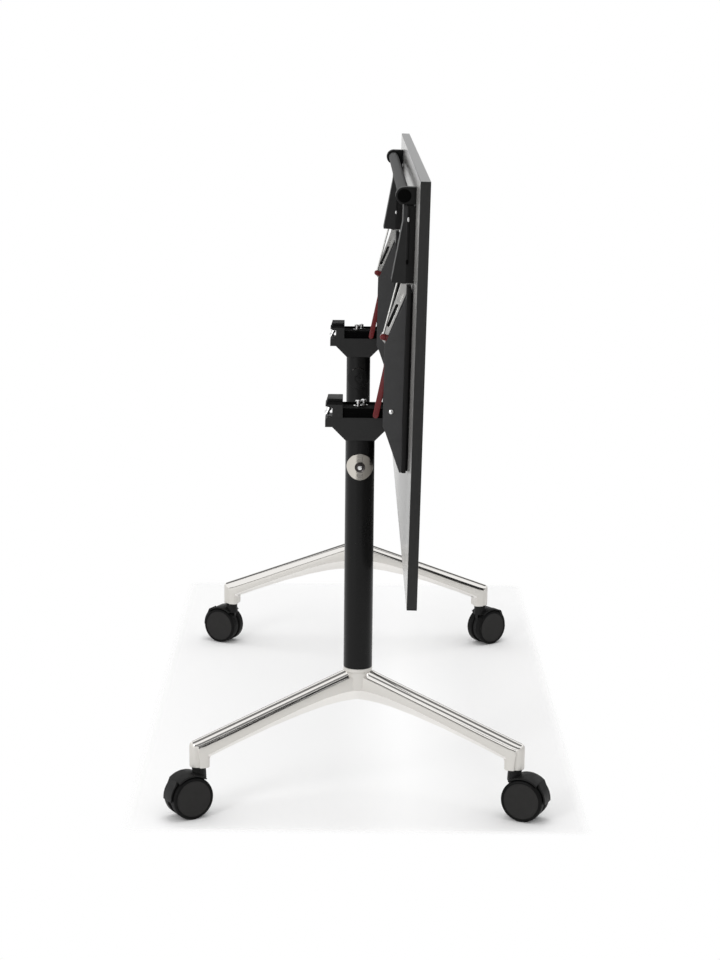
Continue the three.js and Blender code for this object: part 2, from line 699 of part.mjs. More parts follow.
function addBracket(side, name) {
  const bracket = new THREE.Group();
  bracket.position.x = side * columnX;
  worktop.add(bracket);
  piece(bracket, `channel_${name}`, channelGeometry(), blackSteel());
  const farSide = -plateOutside;
  const plates = side > 0 ? ["inner", "outer"] : ["outer", "inner"];
  piece(bracket, `side_plate_${name}_${plates[0]}`, sidePlateGeometry(farSide), greySteel());
  piece(bracket, `side_plate_${name}_${plates[1]}`, sidePlateGeometry(plateInside), greySteel());
  piece(bracket, `pivot_bolt_${name}`, pivotBoltGeometry(), chrome());
  piece(bracket, `pawl_${name}`, pawlGeometry(), redPaint());
  piece(bracket, `pawl_pin_${name}`, pawlPinGeometry(), zinc());
  piece(bracket, `pull_rod_${name}`, pullRodGeometry(), zinc());
  piece(bracket, `pawl_guide_${name}`, guideGeometry(), zinc());
  piece(bracket, `lever_housing_${name}`, housingGeometry(), blackPlastic());
  piece(bracket, `lever_pin_${name}`, leverPinGeometry(), chrome());
}

// Release handle: a tube along the front edge, clamped at each end in a lever
const leverOutside = HOUSING_WIDTH / 2;

function leverGeometry(side) {
  const clampFrom = leverOutside - CLAMP_LENGTH;
  const flat = PIVOT_DROP - HANDLE_CLEAR;
  const clamp = new THREE.Shape();
  clamp.moveTo(-HANDLE_FRONT - CLAMP_RADIUS, flat);
  clamp.lineTo(-HANDLE_FRONT - CLAMP_RADIUS, HANDLE_RISE);
  clamp.absarc(-HANDLE_FRONT, HANDLE_RISE, CLAMP_RADIUS, Math.PI, 2 * Math.PI, false);
  clamp.lineTo(-HANDLE_FRONT + CLAMP_RADIUS, flat);
  clamp.closePath();
  addHole(clamp, -HANDLE_FRONT, HANDLE_RISE, HANDLE_DIAMETER / 2 + SEAT);
  const armFront = -HANDLE_FRONT + CLAMP_RADIUS - OVERLAP;
  const arm = bar(armFront, LEVER_PIN_RISE, -LEVER_REAR, LEVER_PIN_RISE, LEVER_THICKNESS);
  const armTo = clampFrom + LEVER_WIDTH;
  const lever = join(
    sideProfile(clamp, clampFrom, leverOutside, MEDIUM_STEPS),
    sideProfile(arm, clampFrom, armTo),
    roundAlongX(LEVER_HUB_RADIUS, clampFrom, armTo, -LEVER_PIN_FRONT, LEVER_PIN_RISE),
  );
  const boreFrom = clampFrom - OVERLAP;
  const boreTo = armTo + OVERLAP;
  const boreRadius = LEVER_PIN_RADIUS + RUNNING;
  const pinBore = roundAlongX(boreRadius, boreFrom, boreTo, -LEVER_PIN_FRONT, LEVER_PIN_RISE);
  const tubeBore = roundAlongX(HANDLE_DIAMETER / 2 + SEAT, 0, 2 * leverOutside, -HANDLE_FRONT, HANDLE_RISE);
  const made = geometryOf(cut(lever, pinBore, tubeBore));
  return side > 0 ? made : mirrored(made);
}

// The mirror image of a geometry across X, with its faces still pointing out.
function mirrored(geometry) {
  geometry.scale(-1, 1, 1);
  const index = geometry.index.array;
  for (let i = 0; i < index.length; i += 3) {
    [index[i + 1], index[i + 2]] = [index[i + 2], index[i + 1]];
  }
  geometry.computeVertexNormals();
  return geometry;
}

function addHandle() {
  const end = columnX + leverOutside - HANDLE_END_INSET;
  const bore = HANDLE_DIAMETER / 2 - HANDLE_WALL;
  const ring = new THREE.Shape();
  ring.absarc(-HANDLE_FRONT, HANDLE_RISE, HANDLE_DIAMETER / 2, 0, 2 * Math.PI, false);
  addHole(ring, -HANDLE_FRONT, HANDLE_RISE, bore);
  piece(worktop, "handle_tube", sideProfile(ring, -end, end, FINE_STEPS), blackSteel());
  for (const [side, name] of [[1, "right"], [-1, "left"]]) {
    const lever = piece(worktop, `handle_lever_${name}`, leverGeometry(side), blackPlastic());
    lever.position.x = side * columnX;
    const from = side > 0 ? end - HANDLE_PLUG_LENGTH : -end;
    const to = from + HANDLE_PLUG_LENGTH;
    const plug = roundAlongX(bore - SEAT, from, to, -HANDLE_FRONT, HANDLE_RISE, ROUND_SIDES);
    piece(worktop, `handle_plug_${name}`, plug, blackPlastic());
  }
}

// Casters: a hooded body on a swivel stem, two wheels on its axle and a brake pedal behind
function arcBand(innerRadius, outerRadius, fromAngle, toAngle) {
  const shape = new THREE.Shape();
  shape.absarc(CASTER_TRAIL, wheelRadius, outerRadius, degrees(fromAngle), degrees(toAngle), false);
  shape.absarc(CASTER_TRAIL, wheelRadius, innerRadius, degrees(toAngle), degrees(fromAngle), true);
  shape.closePath();
  return shape;
}

const webRadius = wheelRadius - CASTER_WEB_INSET;
const hoodInner = wheelRadius + WHEEL_CLEAR;
const hoodOuter = hoodInner + HOOD_THICKNESS;

function casterBodyGeometry() {
  const webHalf = CASTER_WEB / 2;
  const web = new THREE.Shape().absarc(CASTER_TRAIL, wheelRadius, webRadius, 0, 2 * Math.PI, false);
  const neckTop = bossBottom - SWIVEL_CLEAR;
  const hood = arcBand(hoodInner, hoodOuter, HOOD_LOW_ANGLE, HOOD_HIGH_ANGLE);
  const neck = roundAlongZ(NECK_RADIUS, wheelRadius, neckTop, 0, 0);
  const wheelRoom = [-1, 1].map((side) => {
    const from = side > 0 ? webHalf : -HOOD_WIDTH;
    const to = side > 0 ? HOOD_WIDTH : -webHalf;
    return roundAlongX(hoodInner, from, to, CASTER_TRAIL, wheelRadius, LARGE_SIDES);
  });
  const shell = cut(solid(neck), ...wheelRoom);
  const core = join(
    sideProfile(web, -webHalf, webHalf, MEDIUM_STEPS),
    sideProfile(hood, -HOOD_WIDTH / 2, HOOD_WIDTH / 2),
    roundAlongX(AXLE_RADIUS, -AXLE_LENGTH / 2, AXLE_LENGTH / 2, CASTER_TRAIL, wheelRadius),
    roundAlongZ(STEM_RADIUS, neckTop - OVERLAP, bossBottom + STEM_LENGTH, 0, 0, PIN_SIDES),
    box(-webHalf, webHalf, -CASTER_WEB_FRONT, CASTER_TRAIL, wheelRadius, hoodOuter + wheelRadius - OVERLAP),
  );
  return geometryOf(shell.add(core));
}

function wheelGeometry(side) {
  const inside = CASTER_WEB / 2 + WHEEL_CLEAR / 2;
  const outside = inside + WHEEL_WIDTH;
  const bore = AXLE_RADIUS + RUNNING;
  const boreEnd = AXLE_LENGTH / 2 + RUNNING;
  const face = wheelRadius - WHEEL_EDGE;
  const profile = [
    [0, boreEnd],
    [bore, boreEnd],
    [bore, inside],
    [face, inside],
    [wheelRadius, inside + WHEEL_EDGE],
    [wheelRadius, outside - WHEEL_EDGE],
    [face, outside],
    [face - WHEEL_RIM, outside - WHEEL_DISH],
    [0, outside - WHEEL_DISH],
  ];
  const wheel = turnedAlongX(profile, CASTER_TRAIL, wheelRadius, LARGE_SIDES);
  return side > 0 ? wheel : mirrored(wheel);
}

function pedalGeometry() {
  const low = degrees(PEDAL_LOW_ANGLE);
  const tip = degrees(PEDAL_TIP_ANGLE);
  const tipRadius = hoodOuter + PEDAL_LIP;
  const shape = new THREE.Shape();
  shape.absarc(CASTER_TRAIL, wheelRadius, hoodOuter, low, degrees(PEDAL_HIGH_ANGLE), false);
  shape.lineTo(CASTER_TRAIL + tipRadius * Math.cos(tip), wheelRadius + tipRadius * Math.sin(tip));
  shape.absarc(CASTER_TRAIL, wheelRadius, hoodInner, degrees(PEDAL_LIP_ANGLE), low, true);
  shape.closePath();
  const tongue = arcBand(webRadius + SEAT, hoodInner + HOOD_THICKNESS / 2, PEDAL_LOW_ANGLE, PEDAL_HIGH_ANGLE);
  const pedal = join(
    sideProfile(shape, -PEDAL_WIDTH / 2, PEDAL_WIDTH / 2),
    sideProfile(tongue, -CASTER_WEB / 2, CASTER_WEB / 2),
  );
  return geometryOf(pedal);
}

function addCaster(name, x, y) {
  const caster = new THREE.Group();
  caster.position.set(x, y, 0);
  caster.rotation.z = degrees(CASTER_HEADINGS[name]);
  table.add(caster);
  piece(caster, `caster_body_${name}`, casterBodyGeometry(), blackPlastic());
  piece(caster, `caster_wheel_a_${name}`, wheelGeometry(1), rubber());
  piece(caster, `caster_wheel_b_${name}`, wheelGeometry(-1), rubber());
  piece(caster, `caster_pedal_${name}`, pedalGeometry(), blackPlastic());
}

for (const [side, name] of [[1, "right"], [-1, "left"]]) {
  addLeg(side, name);
  addBracket(side, name);
}
addBoard();
addHandle();
addCaster("front_right", casterX, -casterY);
addCaster("rear_right", casterX, casterY);
addCaster("front_left", -casterX, -casterY);
addCaster("rear_left", -casterX, casterY);

export default table;
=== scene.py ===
"""Dress a flip top training table: its worktop, hinge brackets, heads, columns, feet and casters."""

import json
import math
from typing import NamedTuple

import bmesh
import bpy
from bpy.props import FloatProperty, FloatVectorProperty, PointerProperty
from mathutils import Matrix, Vector


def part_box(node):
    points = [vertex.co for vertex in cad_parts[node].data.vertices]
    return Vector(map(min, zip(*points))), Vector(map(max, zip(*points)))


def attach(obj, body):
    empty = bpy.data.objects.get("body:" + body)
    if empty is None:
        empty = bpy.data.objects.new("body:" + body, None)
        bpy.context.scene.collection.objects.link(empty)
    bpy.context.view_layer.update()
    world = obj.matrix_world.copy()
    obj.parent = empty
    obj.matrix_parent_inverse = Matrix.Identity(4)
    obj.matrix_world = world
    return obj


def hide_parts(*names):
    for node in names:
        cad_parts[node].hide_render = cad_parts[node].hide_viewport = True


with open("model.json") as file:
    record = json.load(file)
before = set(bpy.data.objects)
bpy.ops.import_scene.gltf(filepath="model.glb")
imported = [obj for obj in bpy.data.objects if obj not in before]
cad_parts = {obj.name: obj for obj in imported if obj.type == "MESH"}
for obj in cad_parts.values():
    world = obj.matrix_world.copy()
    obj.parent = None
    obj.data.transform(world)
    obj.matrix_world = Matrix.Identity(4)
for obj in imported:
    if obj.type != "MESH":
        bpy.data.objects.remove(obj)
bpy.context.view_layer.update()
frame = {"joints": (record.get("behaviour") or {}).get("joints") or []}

bl_info = {
    "name": "Flip Top Training Table",
    "version": (1, 0, 0),
    "blender": (4, 5, 0),
    "location": "View3D > Sidebar > Flip Table",
    "description": "Makes the visible pieces of a flip top training table around its frame",
    "category": "Object",
}

MM = 0.001
UP = Vector((0, 0, 1))
SIDES = (("right", 1), ("left", -1))
CASTERS = ("front_right", "rear_right", "front_left", "rear_left")
JOINTS = {joint["name"]: joint for joint in frame["joints"]}

PIVOT = Vector(JOINTS["top_flip"]["pos_m"])
PARK_ANGLE = math.radians(JOINTS["top_flip"]["range_deg"][1])
PARKED = Matrix.Translation(PIVOT) @ Matrix.Rotation(-PARK_ANGLE, 4, "X")
TO_LEVEL = PARKED.inverted()
LEG_X = sum(corner.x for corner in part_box("column_right")) / 2

# Places on the brackets, seen from the pivot with the worktop level
HANDLE_PIN = TO_LEVEL @ Vector(JOINTS["release_handle"]["pos_m"])
PAWL_PIN = TO_LEVEL @ Vector(JOINTS["pawl_right_turn"]["pos_m"])
KNOB = TO_LEVEL @ Vector(JOINTS["pull_rod_right_turn"]["pos_m"])


def length(name, description, default):
    return FloatProperty(name=name, description=description, default=default, unit="LENGTH", precision=4)


def colour(name, description, default):
    return FloatVectorProperty(name=name, description=description, default=default,
                               subtype="COLOR", size=3, min=0.0, max=1.0)


class TableSizes(bpy.types.PropertyGroup):
    """Sizes of the table that a user may change."""
    top_length: length("Top length", "Length of the worktop with its edge bands", 1400 * MM)
    top_thickness: length("Top thickness", "Thickness of the worktop board", 17 * MM)
    top_front: length("Top front", "Distance from the pivot to the front edge", 403 * MM)
    top_rear: length("Top rear", "Distance from the pivot to the rear edge", 297 * MM)
    top_drop: length("Top drop", "Height of the underside over the pivot", 31 * MM)
    edge_band: length("Edge band", "Thickness of the edge bands", 2 * MM)
    column_radius: length("Column radius", "Outer radius of the columns", 25 * MM)
    head_width: length("Head width", "Width of the column heads", 52 * MM)
    arm_width: length("Arm width", "Width of a foot's arm at its boss", 33 * MM)
    hub_width: length("Hub width", "Width of a foot's arm at the hub", 35 * MM)
    bead_radius: length("Bead radius", "Radius of the polished bead on top of an arm", 11.5 * MM)
    wheel_radius: length("Wheel radius", "Radius of the caster wheels", 37.5 * MM)
    wheel_width: length("Wheel width", "Width of one caster wheel", 18 * MM)
    handle_radius: length("Handle radius", "Outer radius of the release handle's tube", 10 * MM)


class TableColours(bpy.types.PropertyGroup):
    """Colours of the table's finishes."""
    melamine: colour("Melamine", "Light grey upper face of the worktop", (0.58, 0.57, 0.555))
    # The underside colour is the melamine darkened: painted shade on the worktop's lower face.
    underside: colour("Underside", "Grey backing sheet under the worktop", (0.27, 0.265, 0.256))
    edging: colour("Edging", "Charcoal edge bands", (0.014, 0.014, 0.0135))
    # Black paint is the columns' own colour; on the left linking disc and its screw it is painted shade.
    black_paint: colour("Black paint", "Columns and left linking disc", (0.004, 0.004, 0.004))
    grey_paint: colour("Grey paint", "Side plates and pawl rivets", (0.040, 0.040, 0.041))
    satin_black: colour("Satin black", "Heads of the columns", (0.0145, 0.0145, 0.0145))
    nylon: colour("Nylon", "Moulded black parts and channels", (0.006, 0.006, 0.006))
    tyre: colour("Tyre", "Wheel treads, rest pads and release handle", (0.004, 0.004, 0.004))
    wheel_face: colour("Wheel face", "Flat discs of the caster wheels", (0.0185, 0.0178, 0.0172))
    polish: colour("Polished aluminium", "Bead on top of the feet", (0.86, 0.84, 0.81))
    satin: colour("Satin aluminium", "Sides of the cast feet", (0.68, 0.66, 0.624))
    # The groove colour is the satin darkened to near black: painted shade in the groove beside the bead.
    groove: colour("Groove", "Dark line beside the bead of the feet", (0.0544, 0.0528, 0.04992))
    nickel: colour("Nickel", "Right linking disc", (0.60, 0.57, 0.52))
    chrome: colour("Chrome", "Bolts, pins and studs", (0.80, 0.80, 0.80))
    # Gunmetal on the left linking disc's upper rim is a painted highlight.
    gunmetal: colour("Gunmetal", "Right linking screw and left linking disc's rim", (0.10, 0.092, 0.09))
    # The plug colour is near black with almost no gloss: painted shade in the handle's tube ends, the heads'
    # recesses and the right lever screw.
    plug: colour("Plug", "Plugs of the release handle and decks of the heads", (0.002, 0.002, 0.002))
    zinc: colour("Zinc", "Rods and slotted guides", (0.58, 0.575, 0.56))
    red: colour("Red", "Pawls", (0.13, 0.006, 0.008))
    floor: colour("Floor", "Pale studio floor", (0.95, 0.95, 0.95))


def sizes():
    return bpy.context.scene.flip_table_sizes


def colours():
    return bpy.context.scene.flip_table_colours


# Materials

COLOUR, ROUGH = "Base Color", "Roughness"


class Cloud(NamedTuple):
    """Soft noise between two values of the roughness, or between two shares of the colour."""
    socket: str
    scale: float
    low: float
    high: float
    detail: float = 3.0
    stretch: tuple = (1, 1, 1)


class Grain(NamedTuple):
    """Fine noise that lifts the surface."""
    scale: float
    strength: float
    detail: float = 2.0
    distance: float = 0.0002


class Finish(NamedTuple):
    """The name of a colour of the table, with the other values of its shader."""
    colour: str
    roughness: float
    cloud: Cloud
    grain: Grain = None
    metallic: float = 0.0
    specular: float = 0.5


FINISHES = {
    # underside: a darker copy of the melamine, painted shade
    "underside": Finish("underside", 0.20, Cloud(COLOUR, 1400, 0.97, 1.03, 2), Grain(900, 0.02, 2, 0.0001)),
    "melamine": Finish("melamine", 0.42, Cloud(COLOUR, 1400, 0.97, 1.03, 2), Grain(900, 0.08)),
    "edging": Finish("edging", 0.28, Cloud(COLOUR, 260, 0.85, 1.15, 3, (1, 1, 0.25)), Grain(1100, 0.10),
                     specular=0.35),
    "black_paint": Finish("black_paint", 0.30, Cloud(ROUGH, 60, 0.26, 0.34), Grain(800, 0.06), specular=0.2),
    "grey_paint": Finish("grey_paint", 0.55, Cloud(COLOUR, 45, 0.92, 1.08), Grain(1300, 0.12), specular=0.4),
    "satin_black": Finish("satin_black", 0.5, Cloud(ROUGH, 80, 0.45, 0.55), Grain(1400, 0.15, 3),
                          specular=0.3),
    "nylon": Finish("nylon", 0.5, Cloud(ROUGH, 90, 0.44, 0.56), Grain(1500, 0.2, 3), specular=0.2),
    "tyre": Finish("tyre", 0.5, Cloud(COLOUR, 120, 0.85, 1.2), Grain(1800, 0.15), specular=0.10),
    "wheel_face": Finish("wheel_face", 0.6, Cloud(COLOUR, 100, 0.93, 1.07), Grain(1600, 0.12), specular=0.2),
    "polished_aluminium": Finish("polish", 0.08, Cloud(ROUGH, 35, 0.06, 0.10), metallic=1.0),
    "satin_aluminium": Finish("satin", 0.45, Cloud(ROUGH, 70, 0.42, 0.50), Grain(1500, 0.10), metallic=0.5),
    # groove: near black metal, painted shade in the groove beside the bead
    "groove_aluminium": Finish("groove", 0.40, Cloud(ROUGH, 140, 0.35, 0.5), metallic=1.0),
    "nickel": Finish("nickel", 0.16, Cloud(ROUGH, 900, 0.12, 0.22, 2, (1, 0.05, 1)), metallic=1.0),
    "chrome": Finish("chrome", 0.08, Cloud(ROUGH, 200, 0.06, 0.12), metallic=1.0),
    "gunmetal": Finish("gunmetal", 0.22, Cloud(ROUGH, 200, 0.18, 0.28), metallic=1.0),
    # Near black and matt: painted shade in holes and recesses; on the handle's plugs it is also their own
    # black.
    "dark_plug": Finish("plug", 0.7, Cloud(COLOUR, 150, 0.8, 1.2), specular=0.03),
    "zinc": Finish("zinc", 0.30, Cloud(ROUGH, 40, 0.24, 0.32), metallic=1.0),
    "red_enamel": Finish("red", 0.26, Cloud(COLOUR, 120, 0.9, 1.1), Grain(1200, 0.08)),
}
CLOUD_ENDS = (0.3, 0.7)
MATERIALS = {}


def painted(name, base, roughness, metallic=0.0, specular=0.5):
    """A new material with its plain values on the shader's own sockets."""
    material = bpy.data.materials.new(name)
    material.use_nodes = True
    shader = material.node_tree.nodes["Principled BSDF"]
    shader.inputs["Base Color"].default_value = (*base, 1.0)
    shader.inputs["Roughness"].default_value = roughness
    shader.inputs["Metallic"].default_value = metallic
    shader.inputs["Specular IOR Level"].default_value = specular
    return material


def noise(tree, scale, detail, stretch=(1, 1, 1)):
    """Noise over the piece's own coordinates."""
    place = tree.nodes.new("ShaderNodeTexCoord")
    mapping = tree.nodes.new("ShaderNodeMapping")
    mapping.inputs["Scale"].default_value = stretch
    texture = tree.nodes.new("ShaderNodeTexNoise")
    texture.inputs["Scale"].default_value = scale
    texture.inputs["Detail"].default_value = detail
    tree.links.new(place.outputs["Object"], mapping.inputs["Vector"])
    tree.links.new(mapping.outputs["Vector"], texture.inputs["Vector"])
    return texture.outputs["Fac"]


def add_cloud(tree, cloud, base):
    shade = base if cloud.socket == COLOUR else (1, 1, 1)
    ramp = tree.nodes.new("ShaderNodeValToRGB")
    for element, position, value in zip(ramp.color_ramp.elements, CLOUD_ENDS, (cloud.low, cloud.high)):
        element.position = position
        element.color = (*(channel * value for channel in shade), 1.0)
    tree.links.new(noise(tree, cloud.scale, cloud.detail, cloud.stretch), ramp.inputs["Fac"])
    tree.links.new(ramp.outputs["Color"], tree.nodes["Principled BSDF"].inputs[cloud.socket])


def add_grain(tree, grain):
    bump = tree.nodes.new("ShaderNodeBump")
    bump.inputs["Strength"].default_value = grain.strength
    bump.inputs["Distance"].default_value = grain.distance
    tree.links.new(noise(tree, grain.scale, grain.detail), bump.inputs["Height"])
    tree.links.new(bump.outputs["Normal"], tree.nodes["Principled BSDF"].inputs["Normal"])


def finish(name):
    """The material of a finish, made once."""
    if name not in MATERIALS:
        look = FINISHES[name]
        base = getattr(colours(), look.colour)
        material = painted(name, base, look.roughness, look.metallic, look.specular)
        add_cloud(material.node_tree, look.cloud, base)
        if look.grain:
            add_grain(material.node_tree, look.grain)
        MATERIALS[name] = material
    return MATERIALS[name]


# Mesh helpers

def mm(points, rise=0.0):
    """Points that are written in millimetres, raised by a length in metres."""
    return [(a * MM, rise + b * MM) for a, b in points]


def arc(centre, radius, start, end, steps):
    """Points of an arc between two angles in degrees."""
    turn = math.radians(end - start) / steps
    angles = [math.radians(start) + turn * i for i in range(steps + 1)]
    return [(centre[0] + radius * math.cos(angle), centre[1] + radius * math.sin(angle)) for angle in angles]


def bar(start, end, width, steps=10):
    """Outline of a bar with round ends."""
    turn = math.degrees(math.atan2(end[1] - start[1], end[0] - start[0]))
    half = width / 2
    return arc(end, half, turn - 90, turn + 90, steps) + arc(start, half, turn + 90, turn + 270, steps)


def rectangle(near, far, low, high):
    return [(near, low), (far, low), (far, high), (near, high)]


def ring(bm, points, x):
    """A closed loop of edges through points of a side view."""
    verts = [bm.verts.new((x, a, b)) for a, b in points]
    return [bm.edges.new((verts[i - 1], verts[i])) for i in range(len(verts))]


def slab(outline, low, high, holes=()):
    """Sweep a side view outline, with any holes, from one x to another."""
    bm = bmesh.new()
    edges = [edge for points in (outline, *holes) for edge in ring(bm, points, low)]
    if holes:
        faces = [item for item in bmesh.ops.triangle_fill(bm, use_beauty=True, edges=edges)["geom"]
                 if isinstance(item, bmesh.types.BMFace)]
    else:
        faces = bmesh.ops.contextual_create(bm, geom=edges)["faces"]
    swept = bmesh.ops.extrude_face_region(bm, geom=faces)["geom"]
    verts = [item for item in swept if isinstance(item, bmesh.types.BMVert)]
    bmesh.ops.translate(bm, verts=verts, vec=(high - low, 0, 0))
    bmesh.ops.recalc_face_normals(bm, faces=bm.faces)
    return bm


def ease(bm, width, segments=2, degrees=40):
    """Round off the edges that bend by more than an angle."""
    limit = math.radians(degrees)
    edges = [edge for edge in bm.edges if len(edge.link_faces) == 2 and edge.calc_face_angle() > limit]
    bmesh.ops.bevel(bm, geom=edges, offset=width, offset_type="OFFSET", segments=segments,
                    profile=0.5, affect="EDGES", material=-1, clamp_overlap=True)
    return bm


def turned(profile, steps=48):
    """Spin a profile of radius and height about Z."""
    bm = bmesh.new()
    verts = [bm.verts.new((radius, 0, height)) for radius, height in profile]
    edges = [bm.edges.new(pair) for pair in zip(verts, verts[1:])]
    bmesh.ops.spin(bm, geom=verts + edges, cent=(0, 0, 0), axis=(0, 0, 1), angle=2 * math.pi,
                   steps=steps, use_merge=True)
    bmesh.ops.remove_doubles(bm, verts=bm.verts, dist=1e-6)
    bmesh.ops.recalc_face_normals(bm, faces=bm.faces)
    return bm


def tube(inside, outside, low, high, corner, steps):
    """A tube about Z with eased ends."""
    return turned([(inside, low), (outside - corner, low), (outside, low + corner), (outside, high - corner),
                   (outside - corner, high), (inside, high), (inside, low)], steps)


def loft(sections):
    """Join closed sections in order and close both ends. Each strip holds the faces between two sections."""
    bm = bmesh.new()
    rings = [[bm.verts.new(place) for place in section] for section in sections]
    strips = [[bm.faces.new((near[i - 1], near[i], far[i], far[i - 1])) for i in range(len(near))]
              for near, far in zip(rings, rings[1:])]
    for end in (rings[0], rings[-1]):
        bm.faces.new(end)
    bmesh.ops.recalc_face_normals(bm, faces=bm.faces)
    return bm, strips


def paint(bm, index):
    """Give every face one of the piece's finishes."""
    for face in bm.faces:
        face.material_index = index
    return bm


def move(bm, matrix):
    bmesh.ops.transform(bm, matrix=matrix, verts=bm.verts)
    return bm


def merge(bm, *others):
    """Put other bmeshes into the first."""
    for other in others:
        mesh = bpy.data.meshes.new("merge")
        other.to_mesh(mesh)
        other.free()
        bm.from_mesh(mesh)
        bpy.data.meshes.remove(mesh)
    return bm


def piece(name, bm, finishes, body, nodes=(), smooth=22):
    """Make a bmesh a finished piece that rides on a body and stands for its nodes."""
    mesh = bpy.data.meshes.new(name)
    bm.to_mesh(mesh)
    bm.free()
    mesh.shade_smooth()
    mesh.set_sharp_from_angle(angle=math.radians(smooth))
    for each in finishes:
        mesh.materials.append(finish(each))
    obj = bpy.data.objects.new(name, mesh)
    bpy.context.scene.collection.objects.link(obj)
    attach(obj, body)
    if nodes:
        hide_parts(*nodes)


def leg(sign):
    """Moves a piece of a leg to its column, without turning it."""
    return Matrix.Translation((sign * LEG_X, 0, 0))


def outward(sign):
    """Moves a piece of a leg to its column and turns it to the table's own end."""
    return leg(sign) @ Matrix.Rotation(0 if sign > 0 else math.pi, 4, "Z")


def bracket(sign):
    """Moves a piece from the pivot of the level worktop to its column and parks it."""
    return PARKED @ leg(sign)


def along_x(x, y, z, sign=1):
    """Turns the Z axis of a turned piece along X, or against it, and puts it in place."""
    return Matrix.Translation((x, y, z)) @ Matrix.Rotation(sign * math.pi / 2, 4, "Y")


# Worktop

class FLIPTABLE_OT_worktop(bpy.types.Operator):
    """Make the board and its edge bands"""
    bl_idname = "fliptable.worktop"
    bl_label = "Worktop"

    def execute(self, context):
        size = sizes()
        low, high = size.top_drop, size.top_drop + size.top_thickness
        edge = size.edge_band
        half = size.top_length / 2
        front, rear = -size.top_front, size.top_rear
        board = slab(rectangle(front + edge, rear - edge, low, high), -half + edge, half - edge)
        ease(board, 0.2 * MM, 1)
        # Faces that point down take the underside finish: painted shade, a darker copy of the melamine.
        for face in board.faces:
            face.material_index = int(face.normal.z < 0)
        move(board, PARKED)
        piece("worktop_panel", board, ["melamine", "underside"], "worktop", ["worktop_board"])
        spans = {
            "edge_band_front": (-half, half, front, front + edge),
            "edge_band_rear": (-half, half, rear - edge, rear),
            "edge_band_right": (half - edge, half, front + edge, rear - edge),
            "edge_band_left": (-half, -half + edge, front + edge, rear - edge),
        }
        for node, (x_low, x_high, y_low, y_high) in spans.items():
            strip = ease(slab(rectangle(y_low, y_high, low, high), x_low, x_high), 0.7 * MM)
            move(strip, PARKED)
            piece(f"{node}_strip", strip, ["edging"], "worktop", [node])
        return {"FINISHED"}


# Columns and linking discs

COLUMN_WALL = 2 * MM


class FLIPTABLE_OT_columns(bpy.types.Operator):
    """Make the column tubes"""
    bl_idname = "fliptable.columns"
    bl_label = "Columns"

    def execute(self, context):
        low, high = (corner.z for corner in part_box("column_right"))
        radius = sizes().column_radius
        for name, sign in SIDES:
            column = move(tube(radius - COLUMN_WALL, radius, low, high, 0.5 * MM, 96), leg(sign))
            piece(f"column_tube_{name}", column, ["black_paint"], "base", [f"column_{name}"])
        return {"FINISHED"}


class LinkLook(NamedTuple):
    """What differs between the two linking discs: rim, finishes, slots, which are not used, and the height
    of the screw.
    """
    rim: float
    plate: tuple
    screw: tuple
    plate_slot: str
    screw_slot: str
    screw_height: float


# The left disc and screw are painted black, a shaded copy of the right's nickel parts, and the left disc's
# upper rim in gunmetal is a painted highlight.
LINK_LOOKS = {
    "right": LinkLook(0.6 * MM, ("nickel", "nickel"), ("gunmetal", "chrome"), "nickel", "chrome", 1.0),
    "left": LinkLook(1.5 * MM, ("black_paint", "gunmetal"), ("black_paint", "black_paint"),
                     "black_steel", "black_steel", 0.2),
}
DISC_RADIUS = 23 * MM
DISC_BACK = 0.2 * MM
DISC_FACE = 2.3 * MM
RIM_SLOPE = 0.3
SCREW_SEAT = 2.4 * MM
# Radius of the screw's middle, which takes the second finish: on the right screw chrome, a painted
# highlight.
SCREW_HIGHLIGHT = 4 * MM
# Like all profiles below: radius and height in millimetres
SCREW_PROFILE = ((0, -1), (9, -1), (9, 1.5), (8.2, 2.2), (6.4, 1.2), (5.4, 1.2), (5, 3.2), (3.6, 4.6),
                 (1.8, 5), (0, 5))


def disc_mesh(rim):
    """A round plate bent about the column, as upright strips. Its eased upper rim has the second finish, a
    painted highlight on the left disc.
    """
    low = sizes().column_radius + DISC_BACK
    high = sizes().column_radius + DISC_FACE
    sections = []
    for step in range(-85, 86, 5):
        along = DISC_RADIUS * math.sin(math.radians(step))
        half = DISC_RADIUS * math.cos(math.radians(step))
        turn = math.asin(along / high)
        corners = [(high, half - rim), (high - rim, half), (low, half),
                   (low, -half), (high - rim, -half), (high, rim - half)]
        sections.append([(bend * math.cos(turn), bend * math.sin(turn), up) for bend, up in corners])
    bm, _ = loft(sections)
    for face in bm.faces:
        face.material_index = int(face.normal.z > RIM_SLOPE)
    return bm


class FLIPTABLE_OT_link_discs(bpy.types.Operator):
    """Make the linking discs and their screws"""
    bl_idname = "fliptable.link_discs"
    bl_label = "Linking discs"

    def execute(self, context):
        seat = sizes().column_radius + SCREW_SEAT
        height = sum(corner.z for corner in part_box("link_disc_right")) / 2
        for name, sign in SIDES:
            look = LINK_LOOKS[name]
            plate = move(disc_mesh(look.rim), leg(sign) @ Matrix.Translation((0, 0, height)))
            piece(f"link_disc_plate_{name}", plate, look.plate, "base",
                  [f"link_disc_{name}"])
            screw = turned(mm(SCREW_PROFILE))
            # The screw's middle takes the second finish; on the right screw its chrome is a painted
            # highlight on gunmetal.
            for face in screw.faces:
                face.material_index = int(face.calc_center_median().xy.length < SCREW_HIGHLIGHT)
            bmesh.ops.scale(screw, vec=(1, 1, look.screw_height), verts=screw.verts)
            move(screw, leg(sign) @ along_x(seat, 0, height))
            piece(f"link_screw_{name}", screw, look.screw, "base",
                  [f"link_disc_screw_{name}"])
        return {"FINISHED"}


# Heads

